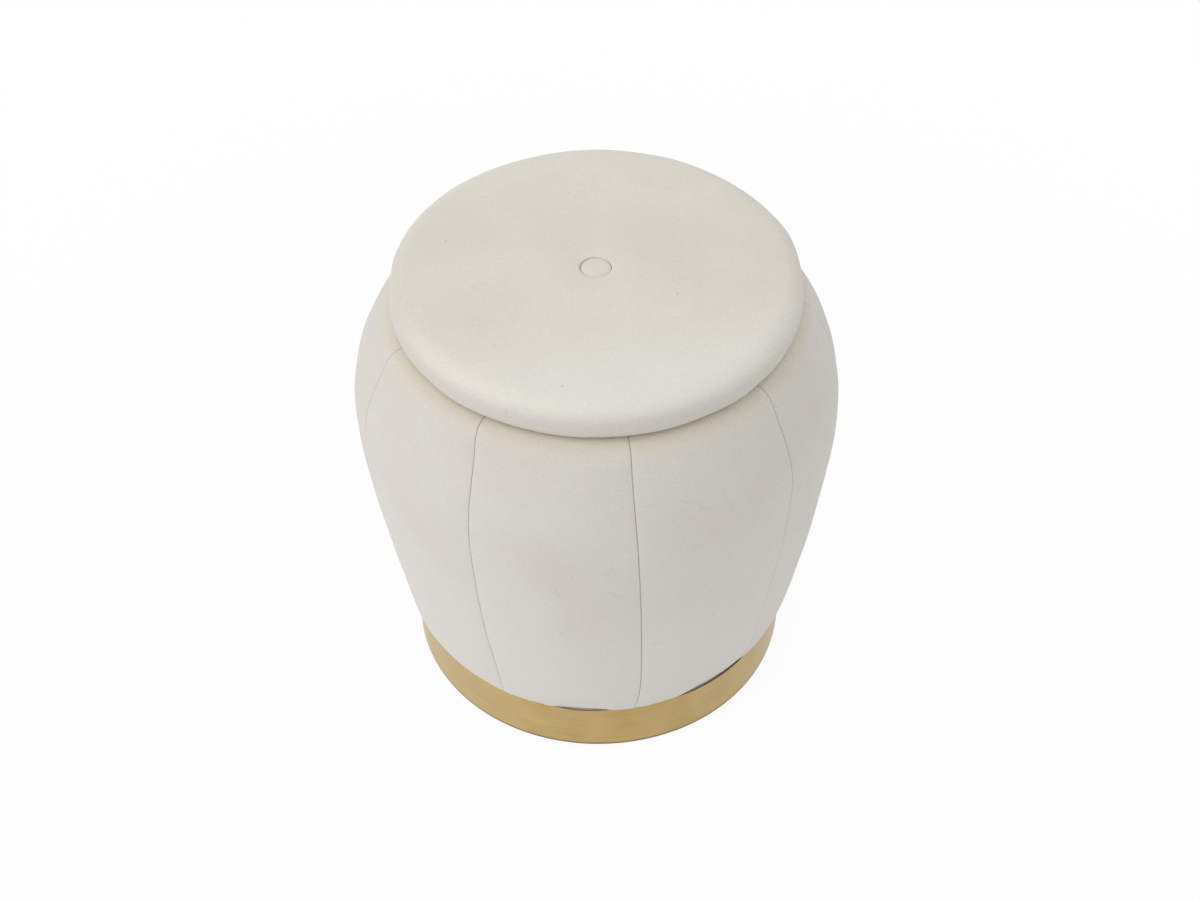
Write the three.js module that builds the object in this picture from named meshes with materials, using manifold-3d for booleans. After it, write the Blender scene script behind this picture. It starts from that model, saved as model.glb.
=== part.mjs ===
// Round storage ottoman: a barrel body in nine sewn velvet panels over foam and a ribbed
// plywood frame, a metal base band on screwed glides, and a cushioned lid with one covered
// button that lifts straight off the storage well.
//
// Millimetres, +Z up. The origin is on the floor on the body's axis, and one seam faces -Y.
// Angles are counted about +Z from -Y towards +X.

import * as THREE from "three";
import { mergeVertices } from "three/addons/utils/BufferGeometryUtils.js";
import Module from "manifold-3d";

const wasm = await Module();
wasm.setup();

// ---------------------------------------------------------------- driving dimensions

const CLEARANCE = 0.3; // left between pieces that touch
const VELVET = 1.6; // pile and backing together
const PLY = 12; // rings, ribs, lid board and locating disc

// Body outline, outside the velvet
const PANELS = 9;
const FOOT_OVERHANG = 6.9; // how far the fabric's foot rolls out past the band
const FOOT_RISE = 10.4; // from the band's top edge to the foot
const FOOT_LEAN = 0.25; // radius gained per height at the foot
const BULGE_OVERHANG = 37.8; // how far the widest place stands out past the band
const BULGE_HEIGHT = 317.8;
const SHOULDER_WIDTH = 27; // from the flat rim's edge out to the shoulder
const SHOULDER_DROP = 21; // from the rim down to the shoulder
const SHOULDER_LEAN = 0.51; // radius lost per height at the shoulder
const RIM_WIDTH = 19; // flat of the rim, from the frame's bore outwards
const RIM_HEIGHT = 411.5;
const SEAM_DEPTH = 3; // how far each seam is pulled in

// Base
const BAND_RADIUS = 183.5;
const BAND_HEIGHT = 55;
const BAND_SHEET = 1.2;
const BAND_FLANGE = 34; // turned in under the bottom board
const BAND_JOINT = 0.6; // between the strip's two ends, at the back
const JOINT_PLATE_HEIGHT = 18;
const GLIDES = 4;
const GLIDE_RADIUS = 12;
const GLIDE_HEIGHT = 2.7;
const GLIDE_INSET = 21.5; // from the band's outside to a glide's centre
const DUST_COVER = 0.6;
const DUST_COVER_INSET = 7.5; // from the band's outside to the cover's edge
const BOTTOM_BOARD = 15;
const HOOP_SHEET = 5;
const HOOP_INSET = 2.1; // from the base ring's edge to the hoop
const BASE_RING_DROP = 3; // from the band's top edge to the base ring's top
const BASE_RING_WIDTH = 27; // its bore is the bore of the whole frame
const HEM_LENGTH = 13; // velvet tucked down inside the band

// Frame and storage well
const MID_RING_SETBACK = 13; // from a rib's edge to the middle ring's edge
const MID_RING_HEIGHT = 230;
const RIM_EDGE_SETBACK = 1; // from the flat rim's edge to the top ring's edge
const SHELL = 2.5;
const SHELL_SETBACK = 1; // from the base ring's edge to the shell's foot
const SHELL_SEAT = 0.8; // from the shell's inside to a rib's edge
const FOAM = 18; // over the bulge
const FLAP_LENGTH = 12; // velvet turned down and stapled to the top ring's inside
const LINER_WALL = 2;
const LINER_DROP = 6; // from the rim to the liner's top edge
const LINER_FLOOR = 3;

// Lid
const LID_OVERHANG = 8.2; // past the edge of the flat rim
const LID_THICKNESS = 38.2;
const LID_EDGE_WIDTH = 16.3; // upper rounding, across
const LID_EDGE_HEIGHT = 20.3; // upper rounding, down
const LID_TUCK = 14.8; // lower rounding, across
const LID_BOARD_INSET = 2; // board's edge inside the end of the lower rounding
const LID_HEM = 22.5; // velvet stapled under the board
const LOCATING_GAP = 4.8; // between the locating disc and the liner
const UNDERLINING = 0.6;
const UNDERLINING_GAP = 1.6; // between the underlining and the velvet flap
const BUTTON_RADIUS = 13.6;
const BUTTON_HEIGHT = 6;
const BUTTON_DOME = 3.3; // the rounded upper part of the button's height
const BUTTON_SUNK = 1.1; // button's top below the cushion's top
const DIMPLE_RADIUS = 45;
const TWINE_RADIUS = 1;
const TOGGLE_RADIUS = 12;
const TOGGLE_THICKNESS = 2.5;
const COUNTERBORE_DEPTH = 4;

// Countersunk screws
const GLIDE_SCREW = { head: 3.8, shank: 1.9, length: 16 };
const RIB_SCREW = { head: 4, shank: 2, length: 40 };
const LOCATING_SCREW = { head: 4, shank: 2, length: 22 };
const GLIDE_SCREW_RECESS = 0.5; // head above the floor
const LOCATING_SCREWS = 4;
const LOCATING_SCREW_INSET = 34; // from the disc's edge

// Fineness of the faceted shapes
const COLUMNS_PER_PANEL = 4;
const FASTENER_SIDES = 8;
const GLIDE_SIDES = 16;
const DISC_SIDES = 24;

// ---------------------------------------------------------------- heights and radii

const TURN = 2 * Math.PI;
const PANEL_ANGLE = TURN / PANELS;
const COLUMN_ANGLE = PANEL_ANGLE / COLUMNS_PER_PANEL;
const COLUMNS = PANELS * COLUMNS_PER_PANEL;
const BACK = Math.PI;

const bandBottom = GLIDE_HEIGHT + CLEARANCE;
const bandTop = bandBottom + BAND_HEIGHT;
const bandInner = BAND_RADIUS - BAND_SHEET;
const glideCircle = BAND_RADIUS - GLIDE_INSET;
const dustCoverBottom = bandBottom + BAND_SHEET + CLEARANCE;
const boardBottom = dustCoverBottom + DUST_COVER + CLEARANCE;
const boardTop = boardBottom + BOTTOM_BOARD;
const boardRadius = bandInner - CLEARANCE;
const hemRadius = bandInner - CLEARANCE;
const baseRingRadius = hemRadius - VELVET - CLEARANCE;
const baseRingTop = bandTop - BASE_RING_DROP;
const baseRingBottom = baseRingTop - PLY;
const frameBore = baseRingRadius - BASE_RING_WIDTH;
const hoopRadius = baseRingRadius - HOOP_INSET;
const hoopBottom = boardTop + CLEARANCE;
const hoopTop = baseRingBottom - CLEARANCE;

const topRingTop = RIM_HEIGHT - VELVET - CLEARANCE;
const topRingBottom = topRingTop - PLY;
const rimRadius = frameBore + RIM_WIDTH;
const topRingRadius = rimRadius - RIM_EDGE_SETBACK;
const ribBottom = baseRingTop + CLEARANCE;
const ribTop = topRingBottom - CLEARANCE;
const flapOuter = frameBore - CLEARANCE;
const flapInner = flapOuter - VELVET;
const linerOuter = flapInner - CLEARANCE;
const linerInner = linerOuter - LINER_WALL;
const linerTop = RIM_HEIGHT - LINER_DROP;
const footRadius = BAND_RADIUS + FOOT_OVERHANG;
const bulgeRadius = BAND_RADIUS + BULGE_OVERHANG;
const shoulderRadius = rimRadius + SHOULDER_WIDTH;
const shellRadius = bulgeRadius - VELVET - FOAM - 2 * CLEARANCE;

const lidRadius = rimRadius + LID_OVERHANG;
const lidBottom = RIM_HEIGHT + CLEARANCE;
const lidTop = lidBottom + LID_THICKNESS;
const lidWidest = lidTop - LID_EDGE_HEIGHT;
const lidFlatRadius = lidRadius - LID_TUCK;
const lidBoardRadius = lidFlatRadius - LID_BOARD_INSET;
const lidBoardBottom = lidBottom + VELVET + CLEARANCE;
const lidBoardTop = lidBoardBottom + PLY;
const underliningBottom = lidBottom - CLEARANCE - UNDERLINING;
const discTop = underliningBottom - CLEARANCE;
const discBottom = discTop - PLY;
const discRadius = linerInner - LOCATING_GAP;
const buttonTop = lidTop - BUTTON_SUNK;
const buttonBottom = buttonTop - BUTTON_HEIGHT;
const pocketFloor = buttonBottom - CLEARANCE;
const pocketRadius = BUTTON_RADIUS + CLEARANCE;
const toggleTop = lidBoardBottom + COUNTERBORE_DEPTH - CLEARANCE;

// ---------------------------------------------------------------- materials

const VELVET_CREAM = { color: "#d8d3c8", roughness: 0.95, metalness: 0 };
const GOLD = { color: "#c9a860", roughness: 0.22, metalness: 1 };
const STEEL = { color: "#a9abad", roughness: 0.35, metalness: 1 };
const PLYWOOD = { color: "#c9a778", roughness: 0.75, metalness: 0 };
const FIBREBOARD = { color: "#9b7c57", roughness: 0.85, metalness: 0 };
const FOAM_PALE = { color: "#efe6c4", roughness: 1, metalness: 0 };
const LINING = { color: "#cfc8ba", roughness: 0.95, metalness: 0 };
const DUST_CLOTH = { color: "#26262a", roughness: 0.95, metalness: 0 };
const BLACK_PLASTIC = { color: "#1d1d1f", roughness: 0.5, metalness: 0 };
const TWINE = { color: "#e4dfd2", roughness: 0.9, metalness: 0 };

// ---------------------------------------------------------------- making solids

const point = (radius, height) => new THREE.Vector2(radius, height);

/** Angles of every column in a full turn of so many columns. */
function fullTurn(count) {
  return Array.from({ length: count }, (_, i) => (i * TURN) / count);
}

/** The point of an outline at an angle about +Z. */
function aroundAxis({ x: radius, y: height }, angle) {
  return [radius * Math.sin(angle), -radius * Math.cos(angle), height];
}

/** Geometry with only position and index, its shared corners merged. */
function weld(geometry) {
  const bare = new THREE.BufferGeometry();
  bare.setAttribute("position", geometry.getAttribute("position").clone());
  bare.setIndex(geometry.getIndex());
  return mergeVertices(bare, 1e-4);
}

/**
 * Closed solid from a loop of (radius, height) points, counter-clockwise, carried through
 * the columns. It closes on itself, or gets two flat ends when `open` is true. Every facet
 * is split the same way, low corner here to high corner next, so nested skins stay parallel.
 */
function revolve(loop, angles, { open = false, place = aroundAxis } = {}) {
  const count = loop.length;
  const positions = angles.flatMap((angle) => loop.flatMap((p, i) => place(p, angle, i)));
  const faces = [];
  const spans = open ? angles.length - 1 : angles.length;
  for (let span = 0; span < spans; span++) {
    const here = span * count;
    const next = ((span + 1) % angles.length) * count;
    for (let i = 0; i < count; i++) {
      const j = (i + 1) % count;
      const climbs = loop[j].y >= loop[i].y;
      faces.push(here + i, next + i, climbs ? next + j : here + j);
      faces.push(climbs ? here + i : next + i, next + j, here + j);
    }
  }
  if (open) {
    const last = (angles.length - 1) * count;
    for (const [a, b, c] of THREE.ShapeUtils.triangulateShape(loop, [])) {
      faces.push(a, b, c);
      faces.push(last + a, last + c, last + b);
    }
  }
  const geometry = new THREE.BufferGeometry();
  geometry.setAttribute("position", new THREE.Float32BufferAttribute(positions, 3));
  geometry.setIndex(faces);
  return geometry;
}

/** Rectangular section between two radii and two heights, as a loop. */
function section(inner, outer, bottom, top) {
  return [point(inner, bottom), point(outer, bottom), point(outer, top), point(inner, top)];
}

/** Upright tube or flat ring on the body's axis. */
function hoop(inner, outer, bottom, top) {
  return revolve(section(inner, outer, bottom, top), fullTurn(COLUMNS));
}

/** Solid turned from a profile that starts and ends on its own axis. */
function turned(profile, sides) {
  const geometry = new THREE.LatheGeometry(profile, sides);
  geometry.rotateX(Math.PI / 2);
  return weld(geometry);
}

/** Solid disc on the body's axis. */
function disc(radius, bottom, top, sides = COLUMNS) {
  const corners = [point(0, bottom), point(radius, bottom), point(radius, top), point(0, top)];
  return turned(corners, sides);
}

/** Offsets an open outline to its left, as it is travelled, with mitred corners. */
function inset(outline, distance) {
  const leftOf = (from, to) => {
    const along = to.clone().sub(from).normalize();
    return point(-along.y, along.x);
  };
  const last = outline.length - 1;
  return outline.map((p, i) => {
    const before = leftOf(outline[Math.max(i - 1, 0)], outline[Math.max(i, 1)]);
    const after = leftOf(outline[Math.min(i, last - 1)], outline[Math.min(i + 1, last)]);
    const mitre = before.clone().add(after);
    return mitre.multiplyScalar(distance / (1 + before.dot(after))).add(p);
  });
}

/** Radius of an outline that only climbs, at a height on it. */
function radiusAt(outline, height) {
  const i = outline.findIndex((p, k) => k > 0 && p.y >= height);
  const [low, high] = [outline[i - 1], outline[i]];
  return THREE.MathUtils.mapLinear(height, low.y, high.y, low.x, high.x);
}

/** Joins curves and lists of points end to end, dropping the shared points. */
function chain(...pieces) {
  const outline = [];
  for (const p of pieces.flat()) {
    const previous = outline.at(-1);
    if (!previous || previous.distanceTo(p) > 1e-6) outline.push(p);
  }
  return outline;
}

function toManifold(geometry) {
  const welded = weld(geometry);
  const mesh = new wasm.Mesh({
    numProp: 3,
    vertProperties: new Float32Array(welded.getAttribute("position").array),
    triVerts: new Uint32Array(welded.getIndex().array),
  });
  return new wasm.Manifold(mesh);
}

/** The geometry with each cutter taken out of it. */
function cut(geometry, cutters) {
  let solid = toManifold(geometry);
  for (const cutter of cutters) {
    solid = solid.subtract(toManifold(cutter));
  }
  const mesh = solid.getMesh();
  const result = new THREE.BufferGeometry();
  result.setAttribute("position", new THREE.BufferAttribute(mesh.vertProperties, 3));
  result.setIndex(new THREE.BufferAttribute(mesh.triVerts, 1));
  return result;
}

/** Screw standing head down on the origin; `slack` widens and lengthens it into its hole. */
function screw({ head, shank, length }, slack = 0) {
  const coneHeight = head - shank;
  const profile = [
    point(0, -slack),
    point(head + slack, -slack),
    point(head + slack, slack / 2),
    point(shank + slack, coneHeight + slack / 2),
    point(shank + slack, length - shank),
    point(shank / 2 + slack, length + slack),
    point(0, length + slack),
  ];
  return turned(slack ? profile : profile.toSpliced(2, 1), FASTENER_SIDES);
}

/** Places on a circle about the body's axis, as angles, starting half a step from -Y. */
function evenly(count) {
  return Array.from({ length: count }, (_, i) => ((i + 0.5) * TURN) / count);
}

const onCircle = (radius, angle, height) =>
  new THREE.Vector3(...aroundAxis(point(radius, height), angle));

/** Holes for upright screws whose heads sit at a height; `down` for heads on top. */
function screwHoles(kind, radius, angles, headHeight, down = false) {
  return angles.map((angle) => {
    const hole = screw(kind, CLEARANCE);
    if (down) hole.rotateX(Math.PI);
    const { x, y, z } = onCircle(radius, angle, headHeight);
    return hole.translate(x, y, z);
  });
}

// ---------------------------------------------------------------- building the object

const ottoman = new THREE.Group();
const body = new THREE.Group();
const lid = new THREE.Group();
ottoman.add(body, lid);

/** Adds one named piece to a group, and returns it for placing. */
function add(group, name, geometry, look) {
  const mesh = new THREE.Mesh(weld(geometry), new THREE.MeshStandardMaterial(look));
  mesh.name = name;
  group.add(mesh);
  return mesh;
}

/** Adds numbered copies of one geometry and hands each to `place` with its index. */
function addCopies(group, name, count, geometry, look, place) {
  for (let i = 0; i < count; i++) {
    place(add(group, `${name}_${i + 1}`, geometry, look), i);
  }
}

// ---------------------------------------------------------------- outlines

/** Outside of a velvet panel, from its hem up over the rim and down inside the well. */
function panelOutline() {
  const hemTop = bandTop + CLEARANCE;
  const foot = point(footRadius, bandTop + FOOT_RISE);
  const bulge = point(bulgeRadius, BULGE_HEIGHT);
  const shoulder = point(shoulderRadius, RIM_HEIGHT - SHOULDER_DROP);
  const flareHeight = bulge.y - foot.y;
  const closeHeight = shoulder.y - bulge.y;
  const footHandle = flareHeight * 0.12;
  const shoulderHandle = closeHeight * 0.16;
  const roll = new THREE.QuadraticBezierCurve(
    point(hemRadius, hemTop),
    point(footRadius - FOOT_LEAN * FOOT_RISE, hemTop + 1),
    foot,
  );
  const flare = new THREE.CubicBezierCurve(
    foot,
    point(foot.x + footHandle * FOOT_LEAN, foot.y + footHandle),
    point(bulge.x, bulge.y - flareHeight * 0.3),
    bulge,
  );
  const closing = new THREE.CubicBezierCurve(
    bulge,
    point(bulge.x, bulge.y + closeHeight * 0.47),
    point(shoulder.x + shoulderHandle * SHOULDER_LEAN, shoulder.y - shoulderHandle),
    shoulder,
  );
  const turnIn = new THREE.QuadraticBezierCurve(
    shoulder,
    point(shoulder.x - SHOULDER_LEAN * SHOULDER_DROP, RIM_HEIGHT),
    point(rimRadius, RIM_HEIGHT),
  );
  const fold = VELVET * 0.75;
  const inside = [
    point(flapInner + fold, RIM_HEIGHT),
    point(flapInner, RIM_HEIGHT - fold),
    point(flapInner, RIM_HEIGHT - FLAP_LENGTH),
  ];
  const hem = point(hemRadius, bandTop - HEM_LENGTH);
  return {
    hem: [hem],
    roll: roll.getPoints(3),
    side: chain(flare.getPoints(4), closing.getPoints(4), turnIn.getPoints(3)),
    inside,
  };
}

/** Outside of the shell that wraps the ribs, from the base ring up to the top ring. */
function shellOutline() {
  const bottom = point(baseRingRadius - SHELL_SETBACK, ribBottom);
  const bulge = point(shellRadius, BULGE_HEIGHT);
  const top = point(topRingRadius, ribTop);
  const flareHeight = bulge.y - bottom.y;
  const flare = new THREE.CubicBezierCurve(
    bottom,
    point(bottom.x, bottom.y + flareHeight * 0.3),
    point(bulge.x, bulge.y - flareHeight * 0.5),
    bulge,
  );
  const closing = new THREE.QuadraticBezierCurve(
    bulge,
    point(bulge.x, (bulge.y + top.y) / 2),
    top,
  );
  return chain(flare.getPoints(3), closing.getPoints(3));
}

const panel = panelOutline();
const shell = shellOutline();

/** Seams are pulled in: all the way at a seam, and hardly at all mid-panel. */
function seamPull(angle) {
  const across = (((angle % PANEL_ANGLE) + PANEL_ANGLE) % PANEL_ANGLE) / PANEL_ANGLE;
  return SEAM_DEPTH * Math.abs(2 * across - 1) ** 4;
}

/** Share of the seam's pull that a point outside the frame takes: none at band and rim. */
function pullShare({ y: height }) {
  const { smoothstep } = THREE.MathUtils;
  const fromBand = smoothstep(height, bandTop, bandTop + FOOT_RISE);
  const fromRim = smoothstep(RIM_HEIGHT - height, 0, SHOULDER_DROP);
  return fromBand * fromRim;
}

/** Places a loop whose points take these shares of the seam's pull. */
function pulledBy(shares) {
  return ({ x: radius, y: height }, angle, i) =>
    aroundAxis(point(radius - seamPull(angle) * shares[i], height), angle);
}

// ---------------------------------------------------------------- base

function addBase() {
  const glideAngles = evenly(GLIDES);
  const shank = GLIDE_SCREW.shank + CLEARANCE;
  const headRoom = GLIDE_SCREW.head + CLEARANCE;
  const countersinkTop = GLIDE_SCREW_RECESS + headRoom - shank;
  const glideLoop = [
    point(headRoom, 0),
    point(GLIDE_RADIUS, 0),
    point(GLIDE_RADIUS, GLIDE_HEIGHT),
    point(shank, GLIDE_HEIGHT),
    point(shank, countersinkTop),
    point(headRoom, GLIDE_SCREW_RECESS),
  ];
  const glide = revolve(glideLoop, fullTurn(GLIDE_SIDES));
  addCopies(body, "glide", GLIDES, glide, BLACK_PLASTIC, (mesh, i) => {
    mesh.position.copy(onCircle(glideCircle, glideAngles[i], 0));
  });
  const glideScrew = screw(GLIDE_SCREW);
  addCopies(body, "glide_screw", GLIDES, glideScrew, STEEL, (mesh, i) => {
    mesh.position.copy(onCircle(glideCircle, glideAngles[i], GLIDE_SCREW_RECESS));
  });
  const holes = screwHoles(GLIDE_SCREW, glideCircle, glideAngles, GLIDE_SCREW_RECESS);

  // A rolled strip with its lower edge turned in; its ends meet over a plate at the back.
  const flangeInner = BAND_RADIUS - BAND_FLANGE;
  const bandLoop = [
    point(flangeInner, bandBottom),
    point(BAND_RADIUS, bandBottom),
    point(BAND_RADIUS, bandTop),
    point(bandInner, bandTop),
    point(bandInner, bandBottom + BAND_SHEET),
    point(flangeInner, bandBottom + BAND_SHEET),
  ];
  const halfJoint = BAND_JOINT / 2 / BAND_RADIUS;
  const bandAngles = fullTurn(COLUMNS).slice(1).map((angle) => BACK + angle);
  bandAngles.unshift(BACK + halfJoint);
  bandAngles.push(BACK + TURN - halfJoint);
  const band = revolve(bandLoop, bandAngles, { open: true });
  add(body, "base_band", cut(band, holes), GOLD);

  const plateMiddle = (hoopBottom + hoopTop) / 2;
  const plateLoop = section(
    boardRadius - BAND_SHEET,
    boardRadius,
    plateMiddle - JOINT_PLATE_HEIGHT / 2,
    plateMiddle + JOINT_PLATE_HEIGHT / 2,
  );
  const plateAngles = [BACK - COLUMN_ANGLE, BACK, BACK + COLUMN_ANGLE];
  add(body, "band_joint_plate", revolve(plateLoop, plateAngles, { open: true }), STEEL);

  const coverRadius = BAND_RADIUS - DUST_COVER_INSET;
  const cover = disc(coverRadius, dustCoverBottom, dustCoverBottom + DUST_COVER);
  add(body, "dust_cover", cut(cover, holes), DUST_CLOTH);

  const board = disc(boardRadius, boardBottom, boardTop);
  add(body, "bottom_board", cut(board, holes), PLYWOOD);
  const plinth = hoop(hoopRadius - HOOP_SHEET, hoopRadius, hoopBottom, hoopTop);
  add(body, "plinth_hoop", plinth, PLYWOOD);
}

// ---------------------------------------------------------------- frame

function addFrame() {
  const seamAngles = Array.from({ length: PANELS }, (_, i) => i * PANEL_ANGLE);
  const ribEdge = inset(shell, SHELL + SHELL_SEAT);
  const ribTopRadius = ribEdge.at(-1).x;
  const screwCircle = (frameBore + ribTopRadius) / 2;
  const screwTop = topRingTop - CLEARANCE;
  const notchBottom = MID_RING_HEIGHT - PLY / 2 - CLEARANCE;
  const notchTop = MID_RING_HEIGHT + PLY / 2 + CLEARANCE;
  const midRingRadius = radiusAt(ribEdge, MID_RING_HEIGHT) - MID_RING_SETBACK;
  const notchDepth = midRingRadius + CLEARANCE;

  const ribShape = new THREE.Shape([
    point(frameBore, ribBottom),
    point(ribEdge[0].x, ribBottom),
    ...ribEdge.slice(1, -1),
    point(ribTopRadius, ribEdge.at(-1).y),
    point(ribTopRadius, ribTop),
    point(frameBore, ribTop),
    point(frameBore, notchTop),
    point(notchDepth, notchTop),
    point(notchDepth, notchBottom),
    point(frameBore, notchBottom),
  ]);
  const rib = new THREE.ExtrudeGeometry(ribShape, { depth: PLY, bevelEnabled: false });
  rib.translate(0, 0, -PLY / 2);
  rib.rotateX(Math.PI / 2);
  const pilot = screw(RIB_SCREW, CLEARANCE);
  pilot.rotateX(Math.PI);
  pilot.translate(screwCircle, 0, screwTop);
  addCopies(body, "rib", PANELS, cut(rib, [pilot]), PLYWOOD, (mesh, i) => {
    mesh.rotation.z = seamAngles[i] - Math.PI / 2;
  });

  add(body, "base_ring", hoop(frameBore, baseRingRadius, baseRingBottom, baseRingTop), PLYWOOD);
  const midRing = hoop(
    frameBore,
    midRingRadius,
    MID_RING_HEIGHT - PLY / 2,
    MID_RING_HEIGHT + PLY / 2,
  );
  add(body, "mid_ring", midRing, PLYWOOD);
  const topRing = hoop(frameBore, topRingRadius, topRingBottom, topRingTop);
  const holes = screwHoles(RIB_SCREW, screwCircle, seamAngles, screwTop, true);
  add(body, "top_ring", cut(topRing, holes), PLYWOOD);
  const ribScrew = screw(RIB_SCREW).rotateX(Math.PI);
  addCopies(body, "rib_screw", PANELS, ribScrew, STEEL, (mesh, i) => {
    mesh.position.copy(onCircle(screwCircle, seamAngles[i], screwTop));
  });

  const shellLoop = [...shell, ...inset(shell, SHELL).reverse()];
  add(body, "frame_shell", revolve(shellLoop, fullTurn(COLUMNS)), FIBREBOARD);
}

// ---------------------------------------------------------------- padding and velvet

function addCovering() {
  // The foam starts inside the roll over the band and ends against the top ring's edge.
  const padded = chain(panel.roll.slice(1), panel.side);
  const foamOutside = inset(padded, VELVET + CLEARANCE);
  const shellClear = inset(shell, -CLEARANCE);
  const foamBottom = foamOutside[0].y;
  const besideRing = topRingRadius + CLEARANCE;
  const foamInside = [
    point(besideRing, foamOutside.at(-1).y),
    point(besideRing, shellClear.at(-1).y),
    ...shellClear.filter((p) => p.y > foamBottom).slice(0, -1).reverse(),
    point(radiusAt(shellClear, foamBottom), foamBottom),
  ];
  const foamShares = [...padded.map(pullShare), ...foamInside.map(() => 0)];
  const foam = revolve([...foamOutside, ...foamInside], fullTurn(COLUMNS), {
    place: pulledBy(foamShares),
  });
  add(body, "foam_wrap", foam, FOAM_PALE);

  // Each panel's side edges stand half a clearance from the seam.
  const outside = chain(panel.hem, panel.roll, panel.side);
  const velvet = [...outside, ...panel.inside];
  const shares = [...outside.map(pullShare), ...panel.inside.map(() => 0)];
  const pulled = pulledBy([...shares, ...shares.toReversed()]);
  const angles = Array.from({ length: COLUMNS_PER_PANEL + 1 }, (_, i) => i * COLUMN_ANGLE);
  const place = (p, angle, i) => {
    const [x, y, z] = pulled(p, angle, i);
    const side = angle === 0 ? 1 : angle === angles.at(-1) ? -1 : 0;
    const shift = (side * CLEARANCE) / 2;
    return [x + shift * Math.cos(angle), y + shift * Math.sin(angle), z];
  };
  const loop = [...velvet, ...inset(velvet, VELVET).reverse()];
  const geometry = revolve(loop, angles, { open: true, place });
  addCopies(body, "velvet_panel", PANELS, geometry, VELVET_CREAM, (mesh, i) => {
    mesh.rotation.z = i * PANEL_ANGLE;
  });
}

// ---------------------------------------------------------------- storage well

function addLiner() {
  const bottom = boardTop + CLEARANCE;
  add(body, "liner_tube", hoop(linerInner, linerOuter, bottom, linerTop), LINING);
  const floor = disc(linerInner - CLEARANCE, bottom, bottom + LINER_FLOOR);
  add(body, "liner_floor", floor, LINING);
}

// ---------------------------------------------------------------- lid

function addLid() {
  const quarter = Math.PI / 2;
  const tuckHeight = lidWidest - lidBottom;
  const flatRadius = lidRadius - LID_EDGE_WIDTH;
  const tuck = new THREE.EllipseCurve(
    lidFlatRadius, lidWidest, LID_TUCK, tuckHeight, -quarter, 0,
  );
  const edge = new THREE.EllipseCurve(
    flatRadius, lidWidest, LID_EDGE_WIDTH, LID_EDGE_HEIGHT, 0, quarter,
  );
  const dimple = new THREE.QuadraticBezierCurve(
    point(DIMPLE_RADIUS, lidTop),
    point(pocketRadius, lidTop - CLEARANCE),
    point(pocketRadius, pocketFloor),
  );
  const twineHole = TWINE_RADIUS + CLEARANCE;
  const cushion = chain(
    tuck.getPoints(3),
    edge.getPoints(4),
    dimple.getPoints(3),
    [point(twineHole, pocketFloor)],
  );
  const velvet = [point(lidFlatRadius - LID_HEM, lidBottom), ...cushion];
  const velvetLoop = [...velvet, ...inset(velvet, VELVET).reverse()];
  add(lid, "lid_velvet", revolve(velvetLoop, fullTurn(COLUMNS)), VELVET_CREAM);

  const skirtInner = lidBoardRadius + CLEARANCE;
  const foamBottom = lidBoardTop + CLEARANCE;
  const foamLoop = [
    point(skirtInner, lidBoardBottom),
    ...inset(velvet, VELVET + CLEARANCE).slice(1),
    point(twineHole, foamBottom),
    point(skirtInner, foamBottom),
  ];
  add(lid, "lid_foam", revolve(foamLoop, fullTurn(COLUMNS)), FOAM_PALE);

  // Screws rise through the locating disc and the underlining into the lid board.
  const angles = evenly(LOCATING_SCREWS);
  const screwCircle = discRadius - LOCATING_SCREW_INSET;
  const headHeight = discBottom + CLEARANCE;
  const holes = screwHoles(LOCATING_SCREW, screwCircle, angles, headHeight);
  const twineBore = disc(twineHole, lidBoardBottom - 1, lidBoardTop + 1, FASTENER_SIDES);
  const counterbore = disc(
    TOGGLE_RADIUS + CLEARANCE,
    lidBoardBottom - 1,
    lidBoardBottom + COUNTERBORE_DEPTH,
    DISC_SIDES,
  );
  const board = disc(lidBoardRadius, lidBoardBottom, lidBoardTop);
  add(lid, "lid_board", cut(board, [...holes, twineBore, counterbore]), PLYWOOD);
  const underliningRadius = flapInner - UNDERLINING_GAP;
  const underlining = disc(
    underliningRadius,
    underliningBottom,
    underliningBottom + UNDERLINING,
  );
  add(lid, "lid_underlining", cut(underlining, holes), DUST_CLOTH);
  add(lid, "locating_disc", cut(disc(discRadius, discBottom, discTop), holes), PLYWOOD);
  const locatingScrew = screw(LOCATING_SCREW);
  addCopies(lid, "locating_screw", LOCATING_SCREWS, locatingScrew, STEEL, (mesh, i) => {
    mesh.position.copy(onCircle(screwCircle, angles[i], headHeight));
  });

  // The button is pulled down by twine that a toggle holds under the board.
  const dome = new THREE.EllipseCurve(
    0, buttonTop - BUTTON_DOME, BUTTON_RADIUS, BUTTON_DOME, 0, quarter,
  );
  const buttonProfile = chain(
    [point(0, buttonBottom), point(BUTTON_RADIUS, buttonBottom)],
    dome.getPoints(5),
  );
  buttonProfile.at(-1).x = 0;
  add(lid, "button", turned(buttonProfile, DISC_SIDES), VELVET_CREAM);
  const twine = disc(
    TWINE_RADIUS,
    toggleTop + CLEARANCE,
    buttonBottom - CLEARANCE,
    FASTENER_SIDES,
  );
  add(lid, "button_twine", twine, TWINE);
  const toggle = disc(TOGGLE_RADIUS, toggleTop - TOGGLE_THICKNESS, toggleTop, DISC_SIDES);
  add(lid, "twine_toggle", toggle, BLACK_PLASTIC);
}

addBase();
addFrame();
addCovering();
addLiner();
addLid();

export default ottoman;
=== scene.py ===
"""Round storage ottoman in cream velvet with a gold base band and a lift-off cushion lid."""
import math
from functools import partial

import bmesh
import bpy
import numpy as np
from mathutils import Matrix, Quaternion, Vector


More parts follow.
